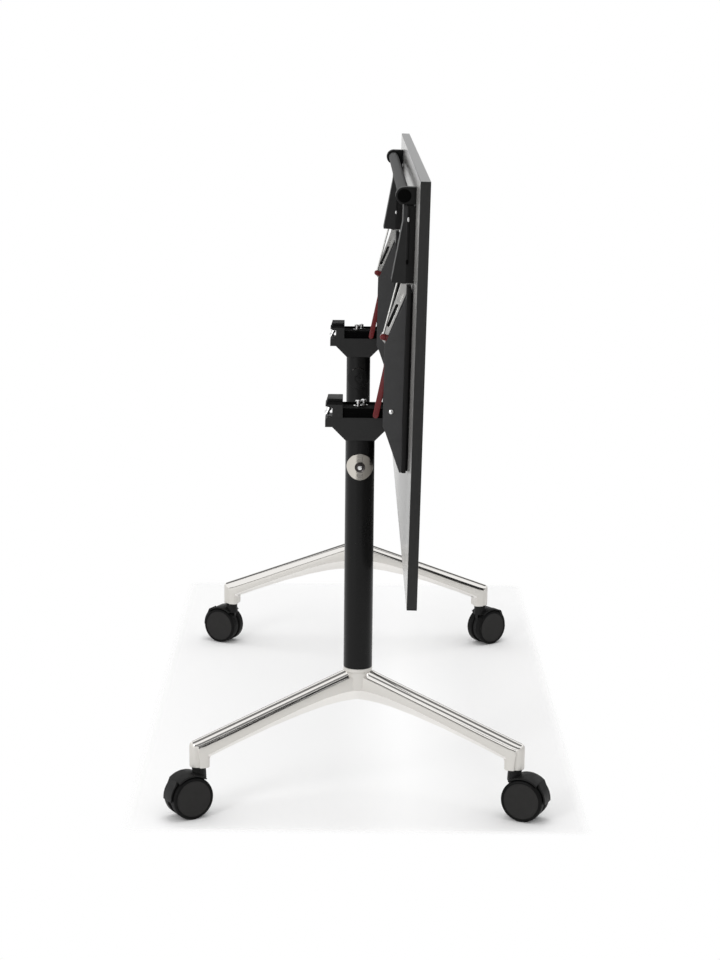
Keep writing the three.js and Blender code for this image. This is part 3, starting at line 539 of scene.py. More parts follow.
HEAD_BOTTOM = 652 * MM
HEAD_SHOULDER = 675 * MM
HEAD_LEDGE = 691 * MM
HEAD_DECK = 707 * MM
HEAD_FRONT = -60 * MM
BLOCK_REAR = -30 * MM
BLOCK_TOP = 714 * MM
BLOCK_FOOT = HEAD_LEDGE - 1 * MM
NOTCH_REAR = HEAD_FRONT + 12 * MM
LOBE_RADIUS = 15 * MM
LOBE_FRONT = PIVOT.y - 14 * MM
DECK_REAR = PIVOT.y - 10 * MM
DECK_INSET = 4 * MM
WALL_REAR = PIVOT.y - 12 * MM
WALL_TOP = HEAD_DECK + 3.6 * MM
RIB_INSET = 2.6 * MM
RIB_HEIGHT = 2 * MM
RIB_RISES = (3 * MM, 7.5 * MM, 12 * MM)
COLLAR_INSET = 2.4 * MM


def head_body():
    """Outline of a head, with the round lobe of its pivot."""
    radius = sizes().column_radius
    lobe_low = PIVOT.z - LOBE_RADIUS
    outline = [(-radius, HEAD_BOTTOM), (radius, HEAD_BOTTOM), (radius + lobe_low - HEAD_BOTTOM, lobe_low)]
    outline += arc(PIVOT.yz, LOBE_RADIUS, -90, 122, 20)
    outline += [(LOBE_FRONT, HEAD_LEDGE), (HEAD_FRONT + 3 * MM, HEAD_LEDGE),
                (HEAD_FRONT, HEAD_LEDGE - 5 * MM), (HEAD_FRONT, HEAD_SHOULDER),
                (-radius + HEAD_BOTTOM - HEAD_SHOULDER, HEAD_SHOULDER)]
    return outline


def head_mesh():
    """A head with its notched block and collar. The deck, the ribs and the wall have the second finish."""
    half = sizes().head_width / 2
    block = [(BLOCK_REAR, BLOCK_FOOT), (BLOCK_REAR, BLOCK_TOP), (HEAD_FRONT + 2 * MM, BLOCK_TOP),
             (HEAD_FRONT, BLOCK_TOP - 3 * MM), (NOTCH_REAR, BLOCK_TOP - 6 * MM), (NOTCH_REAR, BLOCK_FOOT)]
    bm = ease(slab(head_body(), -half, half), 1.2 * MM)
    merge(bm, ease(slab(block, -half, half), 0.8 * MM))
    # The deck, the ribs and the wall take the near-black second finish: painted shade in the recess between
    # the block and the lobe.
    shaded_insets = [(rectangle(BLOCK_REAR - 1 * MM, DECK_REAR, BLOCK_FOOT, HEAD_DECK), DECK_INSET)]
    for low in (HEAD_LEDGE + rise for rise in RIB_RISES):
        shaded_insets.append((rectangle(BLOCK_REAR - 0.5 * MM, WALL_REAR, low, low + RIB_HEIGHT), RIB_INSET))
    for outline, inset in shaded_insets:
        merge(bm, paint(ease(slab(outline, -half + inset, half - inset), 0.8 * MM), 1))
    wall = slab(rectangle(BLOCK_REAR - 1 * MM, WALL_REAR, HEAD_LEDGE, WALL_TOP),
                -half + 1 * MM, -half + DECK_INSET)
    collar = rectangle(0, sizes().column_radius - COLLAR_INSET, HEAD_BOTTOM - 4 * MM, HEAD_BOTTOM + 1 * MM)
    return merge(bm, paint(ease(wall, 0.6 * MM), 1), turned(collar))


class FLIPTABLE_OT_heads(bpy.types.Operator):
    """Make the column heads"""
    bl_idname = "fliptable.heads"
    bl_label = "Heads"

    def execute(self, context):
        for name, sign in SIDES:
            piece(f"head_casting_{name}", move(head_mesh(), leg(sign)), ["satin_black", "dark_plug"],
                  "base", [f"head_{name}"])
        return {"FINISHED"}


def pad_mesh():
    """A rest pad of three layers, the middle one set back."""
    half = sizes().head_width / 2
    low, high = (corner.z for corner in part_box("rest_pad_right"))
    layers = ((low, low + 4.2 * MM, 0), (low + 4.0 * MM, low + 5.4 * MM, 2.5 * MM),
              (low + 5.2 * MM, high, 1.5 * MM))
    bm = bmesh.new()
    for bottom, top, inset in layers:
        front = HEAD_FRONT + 2 * MM + inset
        outline = [(front, bottom), (BLOCK_REAR, bottom), (BLOCK_REAR, top), (front + 1 * MM, top)]
        merge(bm, ease(slab(outline, -half + inset / 2, half - inset / 2), 0.6 * MM))
    return bm


class FLIPTABLE_OT_rest_pads(bpy.types.Operator):
    """Make the ribbed rest pads"""
    bl_idname = "fliptable.rest_pads"
    bl_label = "Rest pads"

    def execute(self, context):
        for name, sign in SIDES:
            pad = move(pad_mesh(), leg(sign))
            piece(f"rest_pad_block_{name}", pad, ["tyre"], "base", [f"rest_pad_{name}"])
        return {"FINISHED"}


STUD_RADIUS = 4.5 * MM
STUD_WAIST = 0.72 * STUD_RADIUS
STUD_LENGTH = 12.6 * MM
STUD_CORNER = 0.6 * MM
STUD_LEAN = math.radians(23.8)
BOLT_PLACES = ((-2, -4.2), (-12, 5.5))
BOLT_PROFILE = ((0, -0.5), (7.5, -0.5), (7.5, 1.1), (7.1, 1.5), (4.6, 1.5), (4.6, 9), (4.0, 10),
                (2.6, 10.4), (2.3, 7), (0, 7))


def stud_mesh():
    """A stud with a necked middle, on its slanted axis."""
    low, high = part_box("catch_stud_right")
    centre = (low + high) / 2
    end = STUD_LENGTH / 2
    upper = [(STUD_WAIST, STUD_LENGTH / 7), (STUD_RADIUS, STUD_LENGTH / 6), (STUD_RADIUS, end - STUD_CORNER),
             (STUD_RADIUS - STUD_CORNER, end), (0, end)]
    bm = turned([(radius, -height) for radius, height in reversed(upper)] + upper, 40)
    return move(bm, Matrix.Translation((0, centre.y, centre.z)) @ Matrix.Rotation(-STUD_LEAN, 4, "X"))


class FLIPTABLE_OT_head_hardware(bpy.types.Operator):
    """Make the catch studs and deck bolts"""
    bl_idname = "fliptable.head_hardware"
    bl_label = "Head hardware"

    def execute(self, context):
        for name, sign in SIDES:
            stud = move(stud_mesh(), leg(sign))
            piece(f"catch_stud_pin_{name}", stud, ["chrome"], "base", [f"catch_stud_{name}"])
            for number, (x, y) in enumerate(mm(BOLT_PLACES), 1):
                bolt = move(turned(mm(BOLT_PROFILE), 36), leg(sign) @ Matrix.Translation((x, y, HEAD_DECK)))
                piece(f"head_bolt_{name}_{number}", bolt, ["chrome"], "base")
        return {"FINISHED"}


# Feet

ARM_TOP_AT_HUB = 251.5 * MM
ARM_FALL = 0.4
# Reach, height and bevel of an arm's underside at each station, and the top's reach there, in millimetres
ARM_UNDER = ((0, 188.2, 19), (8, 188.1, 19), (10.4, 188, 19), (10.9, 188, 19), (12, 187.9, 19),
             (14, 187.8, 19), (16.4, 187.6, 19), (19, 187.4, 19), (22, 187.2, 18.8), (38, 185.2, 18.3),
             (62, 180.6, 17), (104, 169, 14), (158, 151.2, 10), (222, 126.4, 7), (262, 109.6, 6))
ARM_OVER = (0, 8, 10.5, 10.9, 12, 13.9, 16.3, 19, 22, 36, 60, 104, 158, 230, 284)
ELBOW_RADIUS = 9 * MM
ELBOW_CENTRE = Vector((292.1, 125.1)) * MM
ELBOW_INSIDE = (Vector((266.0, 108.2)) * MM, Vector((268.2, 103.8)) * MM)
ELBOW_BEVEL = 6 * MM
ELBOW_STEPS = 5
POLISH_END = ELBOW_CENTRE.y + 0.6 * ELBOW_RADIUS
# Height of a boss at its outer and its inner side, and how far both are drawn in, in millimetres
BOSS_STATIONS = ((112, 100, 0), (96, 94, 0), (89.2, 89.2, 0), (88.4, 88.4, 0.7))
BOSS_REACH = 284.6 * MM
BEAD_START = 10.5 * MM
BEAD_LEAST = 0.2 * MM
FOOT_FINISHES = ("polished_aluminium", "satin_aluminium", "groove_aluminium")
POLISHED, SATIN, GROOVE_SHADE = 0, 1, 2
WALL_STEP = 9
GROOVE_STEP = 10
BEVEL_STEP = 15
HUB_PROFILE = ((0, 205), (16, 205), (20.6, 207), (22.6, 212), (22.6, 237.5), (23.4, 239.6), (25, 241),
               (25.2, 245.6), (24.5, 246.6), (0, 246.6))


def arm_stations():
    """A top point, an underside point and a bevel at each place along an arm, down to its caster boss."""
    for over, (reach, height, bevel) in zip(ARM_OVER, ARM_UNDER):
        top = Vector((over * MM, ARM_TOP_AT_HUB - ARM_FALL * over * MM))
        yield top, Vector((reach, height)) * MM, bevel * MM
    bend = 90 - math.degrees(math.atan(ARM_FALL))
    for share in (step / ELBOW_STEPS for step in range(ELBOW_STEPS + 1)):
        turn = math.radians(bend * (1 - share))
        top = ELBOW_CENTRE + Vector((math.cos(turn), math.sin(turn))) * ELBOW_RADIUS
        yield top, ELBOW_INSIDE[0].lerp(ELBOW_INSIDE[1], share), ELBOW_BEVEL
    end = ELBOW_CENTRE.x + ELBOW_RADIUS
    for over, under, inset in BOSS_STATIONS:
        top = Vector((end - inset * MM, over * MM))
        yield top, Vector((ELBOW_INSIDE[1].x + inset * MM, under * MM)), ELBOW_BEVEL


def bead_width(reach):
    """Half width of the bead, which closes in a round end at the hub."""
    full = sizes().bead_radius
    short = BEAD_START + full - reach
    if short <= 0:
        return full
    return math.sqrt(max(full * full - short * short, BEAD_LEAST ** 2))


def arm_section(depth, half, bead, bevel):
    """Half of an arm's section as width and depth below its top: bead, wall, shoulder, side and bevel."""
    full = sizes().bead_radius
    points = [(bead * math.sin(math.radians(turn)), full - bead * math.cos(math.radians(turn)))
              for turn in range(0, 91, 10)]
    points += [(bead + 0.45 * MM, full + 2.4 * MM), (bead + 1.3 * MM, full + 3.2 * MM),
               (half - 2.0 * MM, full + 2.6 * MM), (half - 0.5 * MM, full + 3.4 * MM),
               (half, full + 5.2 * MM), (half, depth - bevel), (half - 0.6 * MM, depth - bevel + 1.2 * MM),
               (half - 0.45 * bevel, depth - 1.5 * MM), (half - 0.45 * bevel - 2 * MM, depth)]
    return points


def section_slot(index, count):
    """Finish after a point of a section: polished bead and wall, groove painted dark as shade, satin side,
    polished bevel.
    """
    step = min(index, count - 1 - index)
    if step == GROOVE_STEP:
        return GROOVE_SHADE
    return POLISHED if step <= WALL_STEP or step >= BEVEL_STEP else SATIN


def arm_mesh():
    """An arm along +X, made by joining its sections. It is all satin past the elbow."""
    size = sizes()
    sections = []
    heights = []
    for top, low, bevel in arm_stations():
        down = low - top
        depth = down.length
        share = min(1.0, top.x / BOSS_REACH)
        half = (size.hub_width + (size.arm_width - size.hub_width) * share) / 2
        right = arm_section(depth, half, bead_width(top.x), bevel)
        left = [(-width, drop) for width, drop in reversed(right[1:])]
        sections.append([(top.x + down.x * drop / depth, width, top.y + down.y * drop / depth)
                         for width, drop in right + left])
        heights.append(top.y)
    bm, strips = loft(sections)
    paint(bm, SATIN)
    for strip, height in zip(strips, heights[1:]):
        if height >= POLISH_END:
            for i, face in enumerate(strip):
                face.material_index = section_slot((i - 1) % len(strip), len(strip))
    return bm


class FLIPTABLE_OT_feet(bpy.types.Operator):
    """Make the cast feet"""
    bl_idname = "fliptable.feet"
    bl_label = "Feet"

    def execute(self, context):
        caster = JOINTS["swivel_rear_right"]["pos_m"]
        splay = math.atan2(caster[0] - LEG_X, caster[1])
        for name, sign in SIDES:
            foot = paint(turned(mm(HUB_PROFILE), 72), SATIN)
            for side in (1, -1):
                merge(foot, move(arm_mesh(), Matrix.Rotation(side * (math.pi / 2 - splay), 4, "Z")))
            move(foot, outward(sign))
            piece(f"foot_casting_{name}", foot, FOOT_FINISHES, "base", [f"foot_{name}"], 30)
        return {"FINISHED"}


# Hinge brackets

SEAT_GAP = 0.3 * MM
CHANNEL_HALF = 39 * MM
CHANNEL_HEIGHT = 11 * MM
CHANNEL_FRONT = 212 * MM
CHANNEL_REAR = 105 * MM
CHANNEL_GAP = 3 * MM
CHANNEL_LAP = 0.5 * MM
CHANNEL_INSET = 10 * MM
CHANNEL_REAR_INSET = 2 * MM
PLATE_IN = 32 * MM
PLATE_OUT = 35 * MM
PLATE_REACH = 14 * MM
PLATE_FRONT = 115 * MM
PLATE_RUN = 2.35
# Lower corners at the rear of a side plate, in millimetres
PLATE_REAR = ((26, -14), (36, -9))
PLATE_TAIL = 3 * MM


def under_board():
    """Height of what lies against the board, seen from the pivot."""
    return sizes().top_drop - SEAT_GAP


def channel_face():
    """Height of the channels' lower face, seen from the pivot."""
    return sizes().top_drop - CHANNEL_HEIGHT


class FLIPTABLE_OT_channels(bpy.types.Operator):
    """Make the mounting channels"""
    bl_idname = "fliptable.channels"
    bl_label = "Channels"

    def execute(self, context):
        top = under_board()
        tray_side = rectangle(-CHANNEL_FRONT, CHANNEL_REAR, channel_face(), top - CHANNEL_GAP)
        foot_side = rectangle(CHANNEL_INSET - CHANNEL_FRONT, CHANNEL_REAR - CHANNEL_REAR_INSET,
                              top - CHANNEL_GAP - CHANNEL_LAP, top)
        half = CHANNEL_HALF - CHANNEL_INSET
        for name, sign in SIDES:
            tray = ease(slab(tray_side, -CHANNEL_HALF, CHANNEL_HALF), 1.2 * MM, 3)
            merge(tray, slab(foot_side, -half, half))
            move(tray, bracket(sign))
            piece(f"channel_tray_{name}", tray, ["nylon"], "worktop", [f"channel_{name}"])
        return {"FINISHED"}


def side_plate_outline():
    top = channel_face() - SEAT_GAP
    front = PLATE_FRONT + (top + PLATE_REACH) * PLATE_RUN
    return [(-front, top), (-PLATE_FRONT, -PLATE_REACH), *mm(PLATE_REAR), (CHANNEL_REAR, top - PLATE_TAIL),
            (CHANNEL_REAR, top)]


class FLIPTABLE_OT_side_plates(bpy.types.Operator):
    """Make the hinge side plates"""
    bl_idname = "fliptable.side_plates"
    bl_label = "Side plates"

    def execute(self, context):
        for name, sign in SIDES:
            names = ("inner", "outer") if sign > 0 else ("outer", "inner")
            for which, low in zip(names, (-PLATE_OUT, PLATE_IN)):
                plate = ease(slab(side_plate_outline(), low, low + PLATE_OUT - PLATE_IN), 0.5 * MM)
                move(plate, bracket(sign))
                piece(f"hinge_plate_{name}_{which}", plate, ["grey_paint"], "worktop",
                      [f"side_plate_{name}_{which}"])
        return {"FINISHED"}


# Share of a rivet's head radius, and height above its seat in millimetres
RIVET_HEAD = ((1, 0), (1, 0.9), (0.86, 1.9), (0.5, 2.8), (0, 3.1))
RIVET_HEAD_RADIUS = 4.4 * MM
PIVOT_RADIUS = 3.5 * MM
PAWL_PIN_LOW = 26 * MM
PAWL_PIN_RADIUS = 3 * MM
PAWL_PIN_END = PLATE_OUT + 0.25 * MM


def rivet_mesh(radius, seat):
    """A pin along Z with a round head on a seat at each end."""
    profile = [(0, 0), (radius, 0), (radius, seat)]
    profile += [(RIVET_HEAD_RADIUS * share, seat + rise * MM) for share, rise in RIVET_HEAD]
    other = move(turned(profile, 40), Matrix.Rotation(math.pi, 4, "X"))
    return merge(turned(profile, 40), other)


class FLIPTABLE_OT_pivot_bolts(bpy.types.Operator):
    """Make the pivot bolts and pawl rivets"""
    bl_idname = "fliptable.pivot_bolts"
    bl_label = "Pivot bolts"

    def execute(self, context):
        pin_profile = [(0, PAWL_PIN_LOW), (PAWL_PIN_RADIUS, PAWL_PIN_LOW), (PAWL_PIN_RADIUS, PLATE_OUT),
                       (PAWL_PIN_RADIUS - 0.3 * MM, PAWL_PIN_END), (0, PAWL_PIN_END)]
        for name, sign in SIDES:
            bolt = move(rivet_mesh(PIVOT_RADIUS, PLATE_OUT + SEAT_GAP), bracket(sign) @ along_x(0, 0, 0))
            piece(f"pivot_pin_{name}", bolt, ["chrome"], "worktop", [f"pivot_bolt_{name}"])
            pin = move(turned(pin_profile, 32), bracket(sign) @ along_x(0, PAWL_PIN.y, PAWL_PIN.z))
            piece(f"pawl_rivet_{name}", pin, ["grey_paint"], "worktop", [f"pawl_pin_{name}"])
        return {"FINISHED"}


PAWL_LOW = 27 * MM
PAWL_HIGH = 31 * MM
PAWL_WIDTH = 10 * MM
PAWL_TIP = (8 * MM, -26 * MM)
KNOB_RADIUS = 5 * MM
# Radius and height over the outer side plate, in millimetres
KNOB_TOP = ((5, -1.5), (4.4, -0.4), (3, 0), (0, 0))


class FLIPTABLE_OT_pawls(bpy.types.Operator):
    """Make the red pawls"""
    bl_idname = "fliptable.pawls"
    bl_label = "Pawls"

    def execute(self, context):
        knob_profile = [(0, PAWL_LOW), (KNOB_RADIUS, PAWL_LOW), *mm(KNOB_TOP, PLATE_OUT)]
        for name, sign in SIDES:
            pawl = bmesh.new()
            for end in (PAWL_TIP, KNOB.yz):
                crank = slab(bar(PAWL_PIN.yz, end, PAWL_WIDTH), PAWL_LOW, PAWL_HIGH)
                merge(pawl, ease(crank, 0.8 * MM, 3))
            merge(pawl, move(turned(knob_profile, 36), along_x(0, KNOB.y, KNOB.z)))
            move(pawl, bracket(sign))
            piece(f"pawl_crank_{name}", pawl, ["red_enamel"], f"pawl_{name}", [f"pawl_{name}"])
        return {"FINISHED"}


ROD_X = 29 * MM
ROD_END = (-238 * MM, 8 * MM)
ROD_START = 5.3 * MM
ROD_RADIUS = 1.8 * MM
ROD_CORNER = 0.5 * MM


class FLIPTABLE_OT_pull_rods(bpy.types.Operator):
    """Make the pull rods"""
    bl_idname = "fliptable.pull_rods"
    bl_label = "Pull rods"

    def execute(self, context):
        start = Vector((ROD_X, KNOB.y, KNOB.z))
        line = Vector((ROD_X, *ROD_END)) - start
        place = Matrix.Translation(start) @ line.to_track_quat("Z", "Y").to_matrix().to_4x4()
        profile = [(0, ROD_START), (ROD_RADIUS, ROD_START), (ROD_RADIUS, line.length - ROD_CORNER),
                   (ROD_RADIUS - ROD_CORNER, line.length), (0, line.length)]
        for name, sign in SIDES:
            rod = move(turned(profile, 24), bracket(sign) @ place)
            piece(f"pull_wire_{name}", rod, ["zinc"], f"pull_rod_{name}", [f"pull_rod_{name}"])
        return {"FINISHED"}


GUIDE_START = CHANNEL_FRONT - 12 * MM
GUIDE_KNEE = 194 * MM
GUIDE_DEPTH = 13 * MM
GUIDE_FACE = 25.4 * MM
GUIDE_BACK = GUIDE_FACE - 3 * MM
SLOT_ENDS = (180 * MM, 146 * MM)
SLOT_WIDTH = 5 * MM
SLIDE_WIDTH = 9 * MM
RECESS_ENDS = (201 * MM, 188 * MM)
RECESS_WIDTH = 4.4 * MM
FLANGE_FRONT = CHANNEL_FRONT + 7 * MM
FLANGE_DROP = 9 * MM
FLANGE_THICKNESS = 2.5 * MM
FLANGE_WIDTH = 30 * MM


def guide_top():
    """Height of the guides' upper edge, seen from the pivot."""
    return channel_face() - 2 * SEAT_GAP


def guide_shapes():
    """Outlines of the slotted guide, its slot, its blind recess and the slide behind the slot."""
    top = guide_top()
    slope = (top + PLATE_REACH) / (GUIDE_START - PLATE_FRONT)
    depth = GUIDE_DEPTH / math.cos(math.atan(slope))

    def line(front):
        return -PLATE_REACH + (front - PLATE_FRONT) * slope

    def middles(ends):
        return [(-front, line(front) - depth / 2) for front in ends]

    outline = [(-FLANGE_FRONT, top), (-FLANGE_FRONT, top - FLANGE_DROP),
               (-GUIDE_KNEE, line(GUIDE_KNEE) - depth), (KNOB.y - 2 * MM, KNOB.z - 1 * MM),
               (KNOB.y + 6 * MM, KNOB.z - 1 * MM), (-PLATE_FRONT, -PLATE_REACH), (-GUIDE_START, top)]
    slot = bar(*middles(SLOT_ENDS), SLOT_WIDTH, 6)
    recess = bar(*middles(RECESS_ENDS), RECESS_WIDTH, 6)
    slide = bar(*middles(SLOT_ENDS), SLIDE_WIDTH)
    return outline, slot, recess, slide


class FLIPTABLE_OT_guides(bpy.types.Operator):
    """Make the slotted guides"""
    bl_idname = "fliptable.guides"
    bl_label = "Guides"

    def execute(self, context):
        outline, slot, recess, slide = guide_shapes()
        flange = rectangle(-FLANGE_FRONT, FLANGE_THICKNESS - FLANGE_FRONT,
                           guide_top() - FLANGE_DROP, under_board())
        for name, sign in SIDES:
            guide = ease(slab(outline, GUIDE_BACK, GUIDE_FACE, [slot, recess]), 0.3 * MM)
            merge(guide, slab(recess, GUIDE_BACK + 0.4 * MM, GUIDE_BACK + 1.4 * MM),
                  paint(slab(slide, GUIDE_BACK - 0.6 * MM, GUIDE_BACK - 0.1 * MM), 1),
                  ease(slab(flange, GUIDE_FACE - FLANGE_WIDTH, GUIDE_FACE), 0.5 * MM))
            move(guide, bracket(sign))
            piece(f"guide_plate_{name}", guide, ["zinc", "nylon"], "worktop", [f"pawl_guide_{name}"])
        return {"FINISHED"}


# Release handle

HOUSING_FRONT = 349 * MM
# Distance in front of the pivot and height of the roof, along a housing
HOUSING_SECTIONS = ((HOUSING_FRONT, 10.5 * MM), (322 * MM, 10.5 * MM), (219 * MM, -6.5 * MM))
HOUSING_HALF = 38 * MM
HOUSING_WALL = 2.5 * MM
HOUSING_CHAMFER = 9 * MM
HOUSING_RIDGE = 17 * MM
HOUSING_SCREW = Vector((-255 * MM, 18.5 * MM))
HOUSING_RIB = HOUSING_HALF + 1.6 * MM
HOUSING_RIB_WIDTH = 5 * MM
HOUSING_RIB_START = 4 * MM - HOUSING_FRONT
LEVER_PIN_RADIUS = 3 * MM
LEVER_PIN_SEAT = HOUSING_HALF + 1 * MM
LEVER_PIN_SQUASH = 0.5


def housing_section(front, roof, grow):
    half = HOUSING_HALF + grow
    side = [(half, under_board()), (half, HOUSING_RIDGE), (half - HOUSING_CHAMFER, roof - grow)]
    return [Vector((-x, -front, z)) for x, z in side] + [Vector((x, -front, z)) for x, z in reversed(side)]


def join_rows(bm, near, far):
    """A row of faces between two rows of points."""
    for i in range(len(near) - 1):
        bm.faces.new((near[i], near[i + 1], far[i + 1], far[i]))


def housing_mesh():
    """A wedge cover, open towards the board: two skins joined at their rims."""
    bm = bmesh.new()
    skins = [[[bm.verts.new(place) for place in housing_section(front, roof, grow)]
              for front, roof in HOUSING_SECTIONS] for grow in (0, -HOUSING_WALL)]
    outer, inner = skins
    for end in (0, -1):
        join_rows(bm, outer[end], inner[end])
    for skin in skins:
        for near, far in zip(skin, skin[1:]):
            join_rows(bm, near, far)
    for side in (0, -1):
        join_rows(bm, [row[side] for row in outer], [row[side] for row in inner])
    bmesh.ops.recalc_face_normals(bm, faces=bm.faces)
    return ease(bm, 0.8 * MM, 3, 12)


class FLIPTABLE_OT_housings(bpy.types.Operator):
    """Make the lever housings and their pins"""
    bl_idname = "fliptable.housings"
    bl_label = "Housings"

    def execute(self, context):
        rib_outline = bar((HOUSING_RIB_START, HOUSING_SCREW.y), HOUSING_SCREW, HOUSING_RIB_WIDTH)
        for name, sign in SIDES:
            rib = ease(slab(rib_outline, -HOUSING_RIB, HOUSING_RIB), 1.4 * MM, 3, 60)
            cover = move(merge(housing_mesh(), rib), bracket(sign))
            piece(f"housing_cover_{name}", cover, ["nylon"], "worktop",
                  [f"lever_housing_{name}"])
            pins = bmesh.new()
            for screw, spot in enumerate((HANDLE_PIN.yz, HOUSING_SCREW)):
                # The right housing's second screw takes the near-black finish: painted shade, a shaded copy
                # of the chrome screw on the left.
                pin = paint(rivet_mesh(LEVER_PIN_RADIUS, LEVER_PIN_SEAT), int(screw and sign > 0))
                bmesh.ops.scale(pin, vec=(LEVER_PIN_SQUASH, 1, 1), verts=pin.verts)
                merge(pins, move(pin, along_x(0, spot.x, spot.y)))
            move(pins, bracket(sign))
            piece(f"lever_rivet_{name}", pins, ["chrome", "dark_plug"], "worktop",
                  [f"lever_pin_{name}"])
        return {"FINISHED"}


HANDLE_FRONT = 365 * MM
HANDLE_RISE = 11 * MM
HANDLE_REACH = LEG_X + 36 * MM
HANDLE_WALL = 1.5 * MM
CLAMP_RADIUS = 14.5 * MM
CLAMP_PLAY = 0.2 * MM
CLAMP_NEAR = 14 * MM
CLAMP_FAR = 38 * MM
LEVER_FAR = CLAMP_NEAR + 10 * MM
LEVER_WIDTH = 7 * MM
LEVER_END = -230 * MM
PLUG_DEPTH = 12 * MM
PLUG_PLAY = 0.2 * MM
PLUG_SEAT = 2.1 * MM
PLUG_CAP = ((11.3, 2.1), (11.3, 2.6), (10.9, 3.0), (0, 3.0))


def lever_mesh(sign):
    """A D-shaped clamp round the tube with an arm into the housing."""
    centre = (-HANDLE_FRONT, HANDLE_RISE)
    front, rear = -HANDLE_FRONT - CLAMP_RADIUS, -HANDLE_FRONT + CLAMP_RADIUS
    clamp = [(front, under_board()), *arc(centre, CLAMP_RADIUS, 180, 360, 24), (rear, under_board())]
    hole = arc(centre, sizes().handle_radius + CLAMP_PLAY, 0, 348.75, 31)
    bm = slab(clamp, *sorted((sign * CLAMP_NEAR, sign * CLAMP_FAR)), [hole])
    ease(bm, 0.8 * MM, 3, 60)
    arm = bar((rear - 1 * MM, HANDLE_PIN.z), (LEVER_END, HANDLE_PIN.z), LEVER_WIDTH)
    return merge(bm, ease(slab(arm, *sorted((sign * CLAMP_NEAR, sign * LEVER_FAR))), 0.6 * MM, 2, 60))


class FLIPTABLE_OT_handle(bpy.types.Operator):
    """Make the release handle with its levers"""
    bl_idname = "fliptable.handle"
    bl_label = "Handle"

    def execute(self, context):
        radius = sizes().handle_radius
        inside = radius - HANDLE_WALL
        rod = tube(inside, radius, -HANDLE_REACH, HANDLE_REACH, 0.4 * MM, 64)
        move(rod, PARKED @ along_x(0, -HANDLE_FRONT, HANDLE_RISE))
        piece("handle_bar", rod, ["tyre"], "handle", ["handle_tube"])
        plug_profile = [(0, -PLUG_DEPTH), (inside - PLUG_PLAY, -PLUG_DEPTH), (inside - PLUG_PLAY, PLUG_SEAT),
                        *mm(PLUG_CAP)]
        for name, sign in SIDES:
            clamp = move(lever_mesh(sign), bracket(sign))
            piece(f"handle_clamp_{name}", clamp, ["nylon"], "handle",
                  [f"handle_lever_{name}"])
            # The plugs are real black parts, made near black and matt as painted shade in the tube's ends.
            plug = turned(plug_profile)
            move(plug, PARKED @ along_x(sign * HANDLE_REACH, -HANDLE_FRONT, HANDLE_RISE, sign))
            piece(f"handle_cap_{name}", plug, ["dark_plug"], "handle",
                  [f"handle_plug_{name}"])
        return {"FINISHED"}


# Casters

HUB_TRAIL = 20 * MM
WEB_HALF = 4 * MM
WEB_FRONT = -9 * MM
WEB_RISE = 40 * MM
HOOD_IN = 38.7 * MM
HOOD_OUT = 41.7 * MM
HOOD_HALF = 21 * MM
HOOD_ANGLES = (48, 128)
RIB_ANGLES = (45, 64)
HOOD_LAP = HOOD_IN + 1.5 * MM
NECK_TOP = 87.5 * MM
NECK_PROFILE = ((0, -20), (12.9, -20), (12.6, -12), (12.0, -4.2), (12.5, -3.4), (12.5, -0.6), (11.9, 0),
                (5, 0), (5, 8), (0, 8))
WHEEL_GAP = 0.6 * MM
# Steps in from a wheel's radius and from its inner or its outer face, in millimetres
WHEEL_INNER = ((4, 0), (1.2, 1), (0, 3))
WHEEL_OUTER = ((0, 4.2), (0.4, 2.6), (1.4, 1.2), (3, 0.3), (4.4, 0), (5.2, 0.1), (5.8, 1.1), (6.6, 1.3))
WHEEL_FACE_INSET = 6.2 * MM
WHEEL_FACE_DEPTH = 5 * MM
PEDAL_ANGLES = (-4, 36)
PEDAL_INNER_END = 45
PEDAL_TIP = math.radians(49)
PEDAL_LIP = 3.5 * MM
PEDAL_HALF = 15 * MM


def caster_frame(name):
    """Place of a caster: its stem on Z, its trail along Y and its axle along X."""
    across = Vector(JOINTS[f"wheel_a_{name}_roll"]["axis"]).normalized()
    stem = JOINTS[f"swivel_{name}"]["pos_m"]
    matrix = Matrix((across, UP.cross(across), UP)).transposed().to_4x4()
    matrix.translation = (stem[0], stem[1], 0)
    return matrix


def axle():
    """Place of a caster's axle in its side view."""
    return Vector((HUB_TRAIL, sizes().wheel_radius))


def band(inner, outer, angles, steps):
    """Outline of a curved strip round the axle."""
    start, end = angles
    return arc(axle(), outer, start, end, steps) + arc(axle(), inner, end, start, steps)


def caster_body_mesh():
    """The disc between the wheels with the hood, the web, a rib into the hood and the neck."""
    radius = sizes().wheel_radius
    bm = slab(arc(axle(), radius - 3 * MM, 0, 354, 59), -WEB_HALF, WEB_HALF)
    hood = slab(band(HOOD_IN, HOOD_OUT, HOOD_ANGLES, 22), -HOOD_HALF, HOOD_HALF)
    web = slab(rectangle(WEB_FRONT, HUB_TRAIL, radius, radius + WEB_RISE), -WEB_HALF, WEB_HALF)
    rib = slab(band(radius - 4 * MM, HOOD_LAP, RIB_ANGLES, 5), -WEB_HALF, WEB_HALF)
    neck = turned(mm(NECK_PROFILE, NECK_TOP), 40)
    return merge(bm, ease(hood, 0.9 * MM, 3, 60), ease(web, 0.6 * MM), rib, neck)


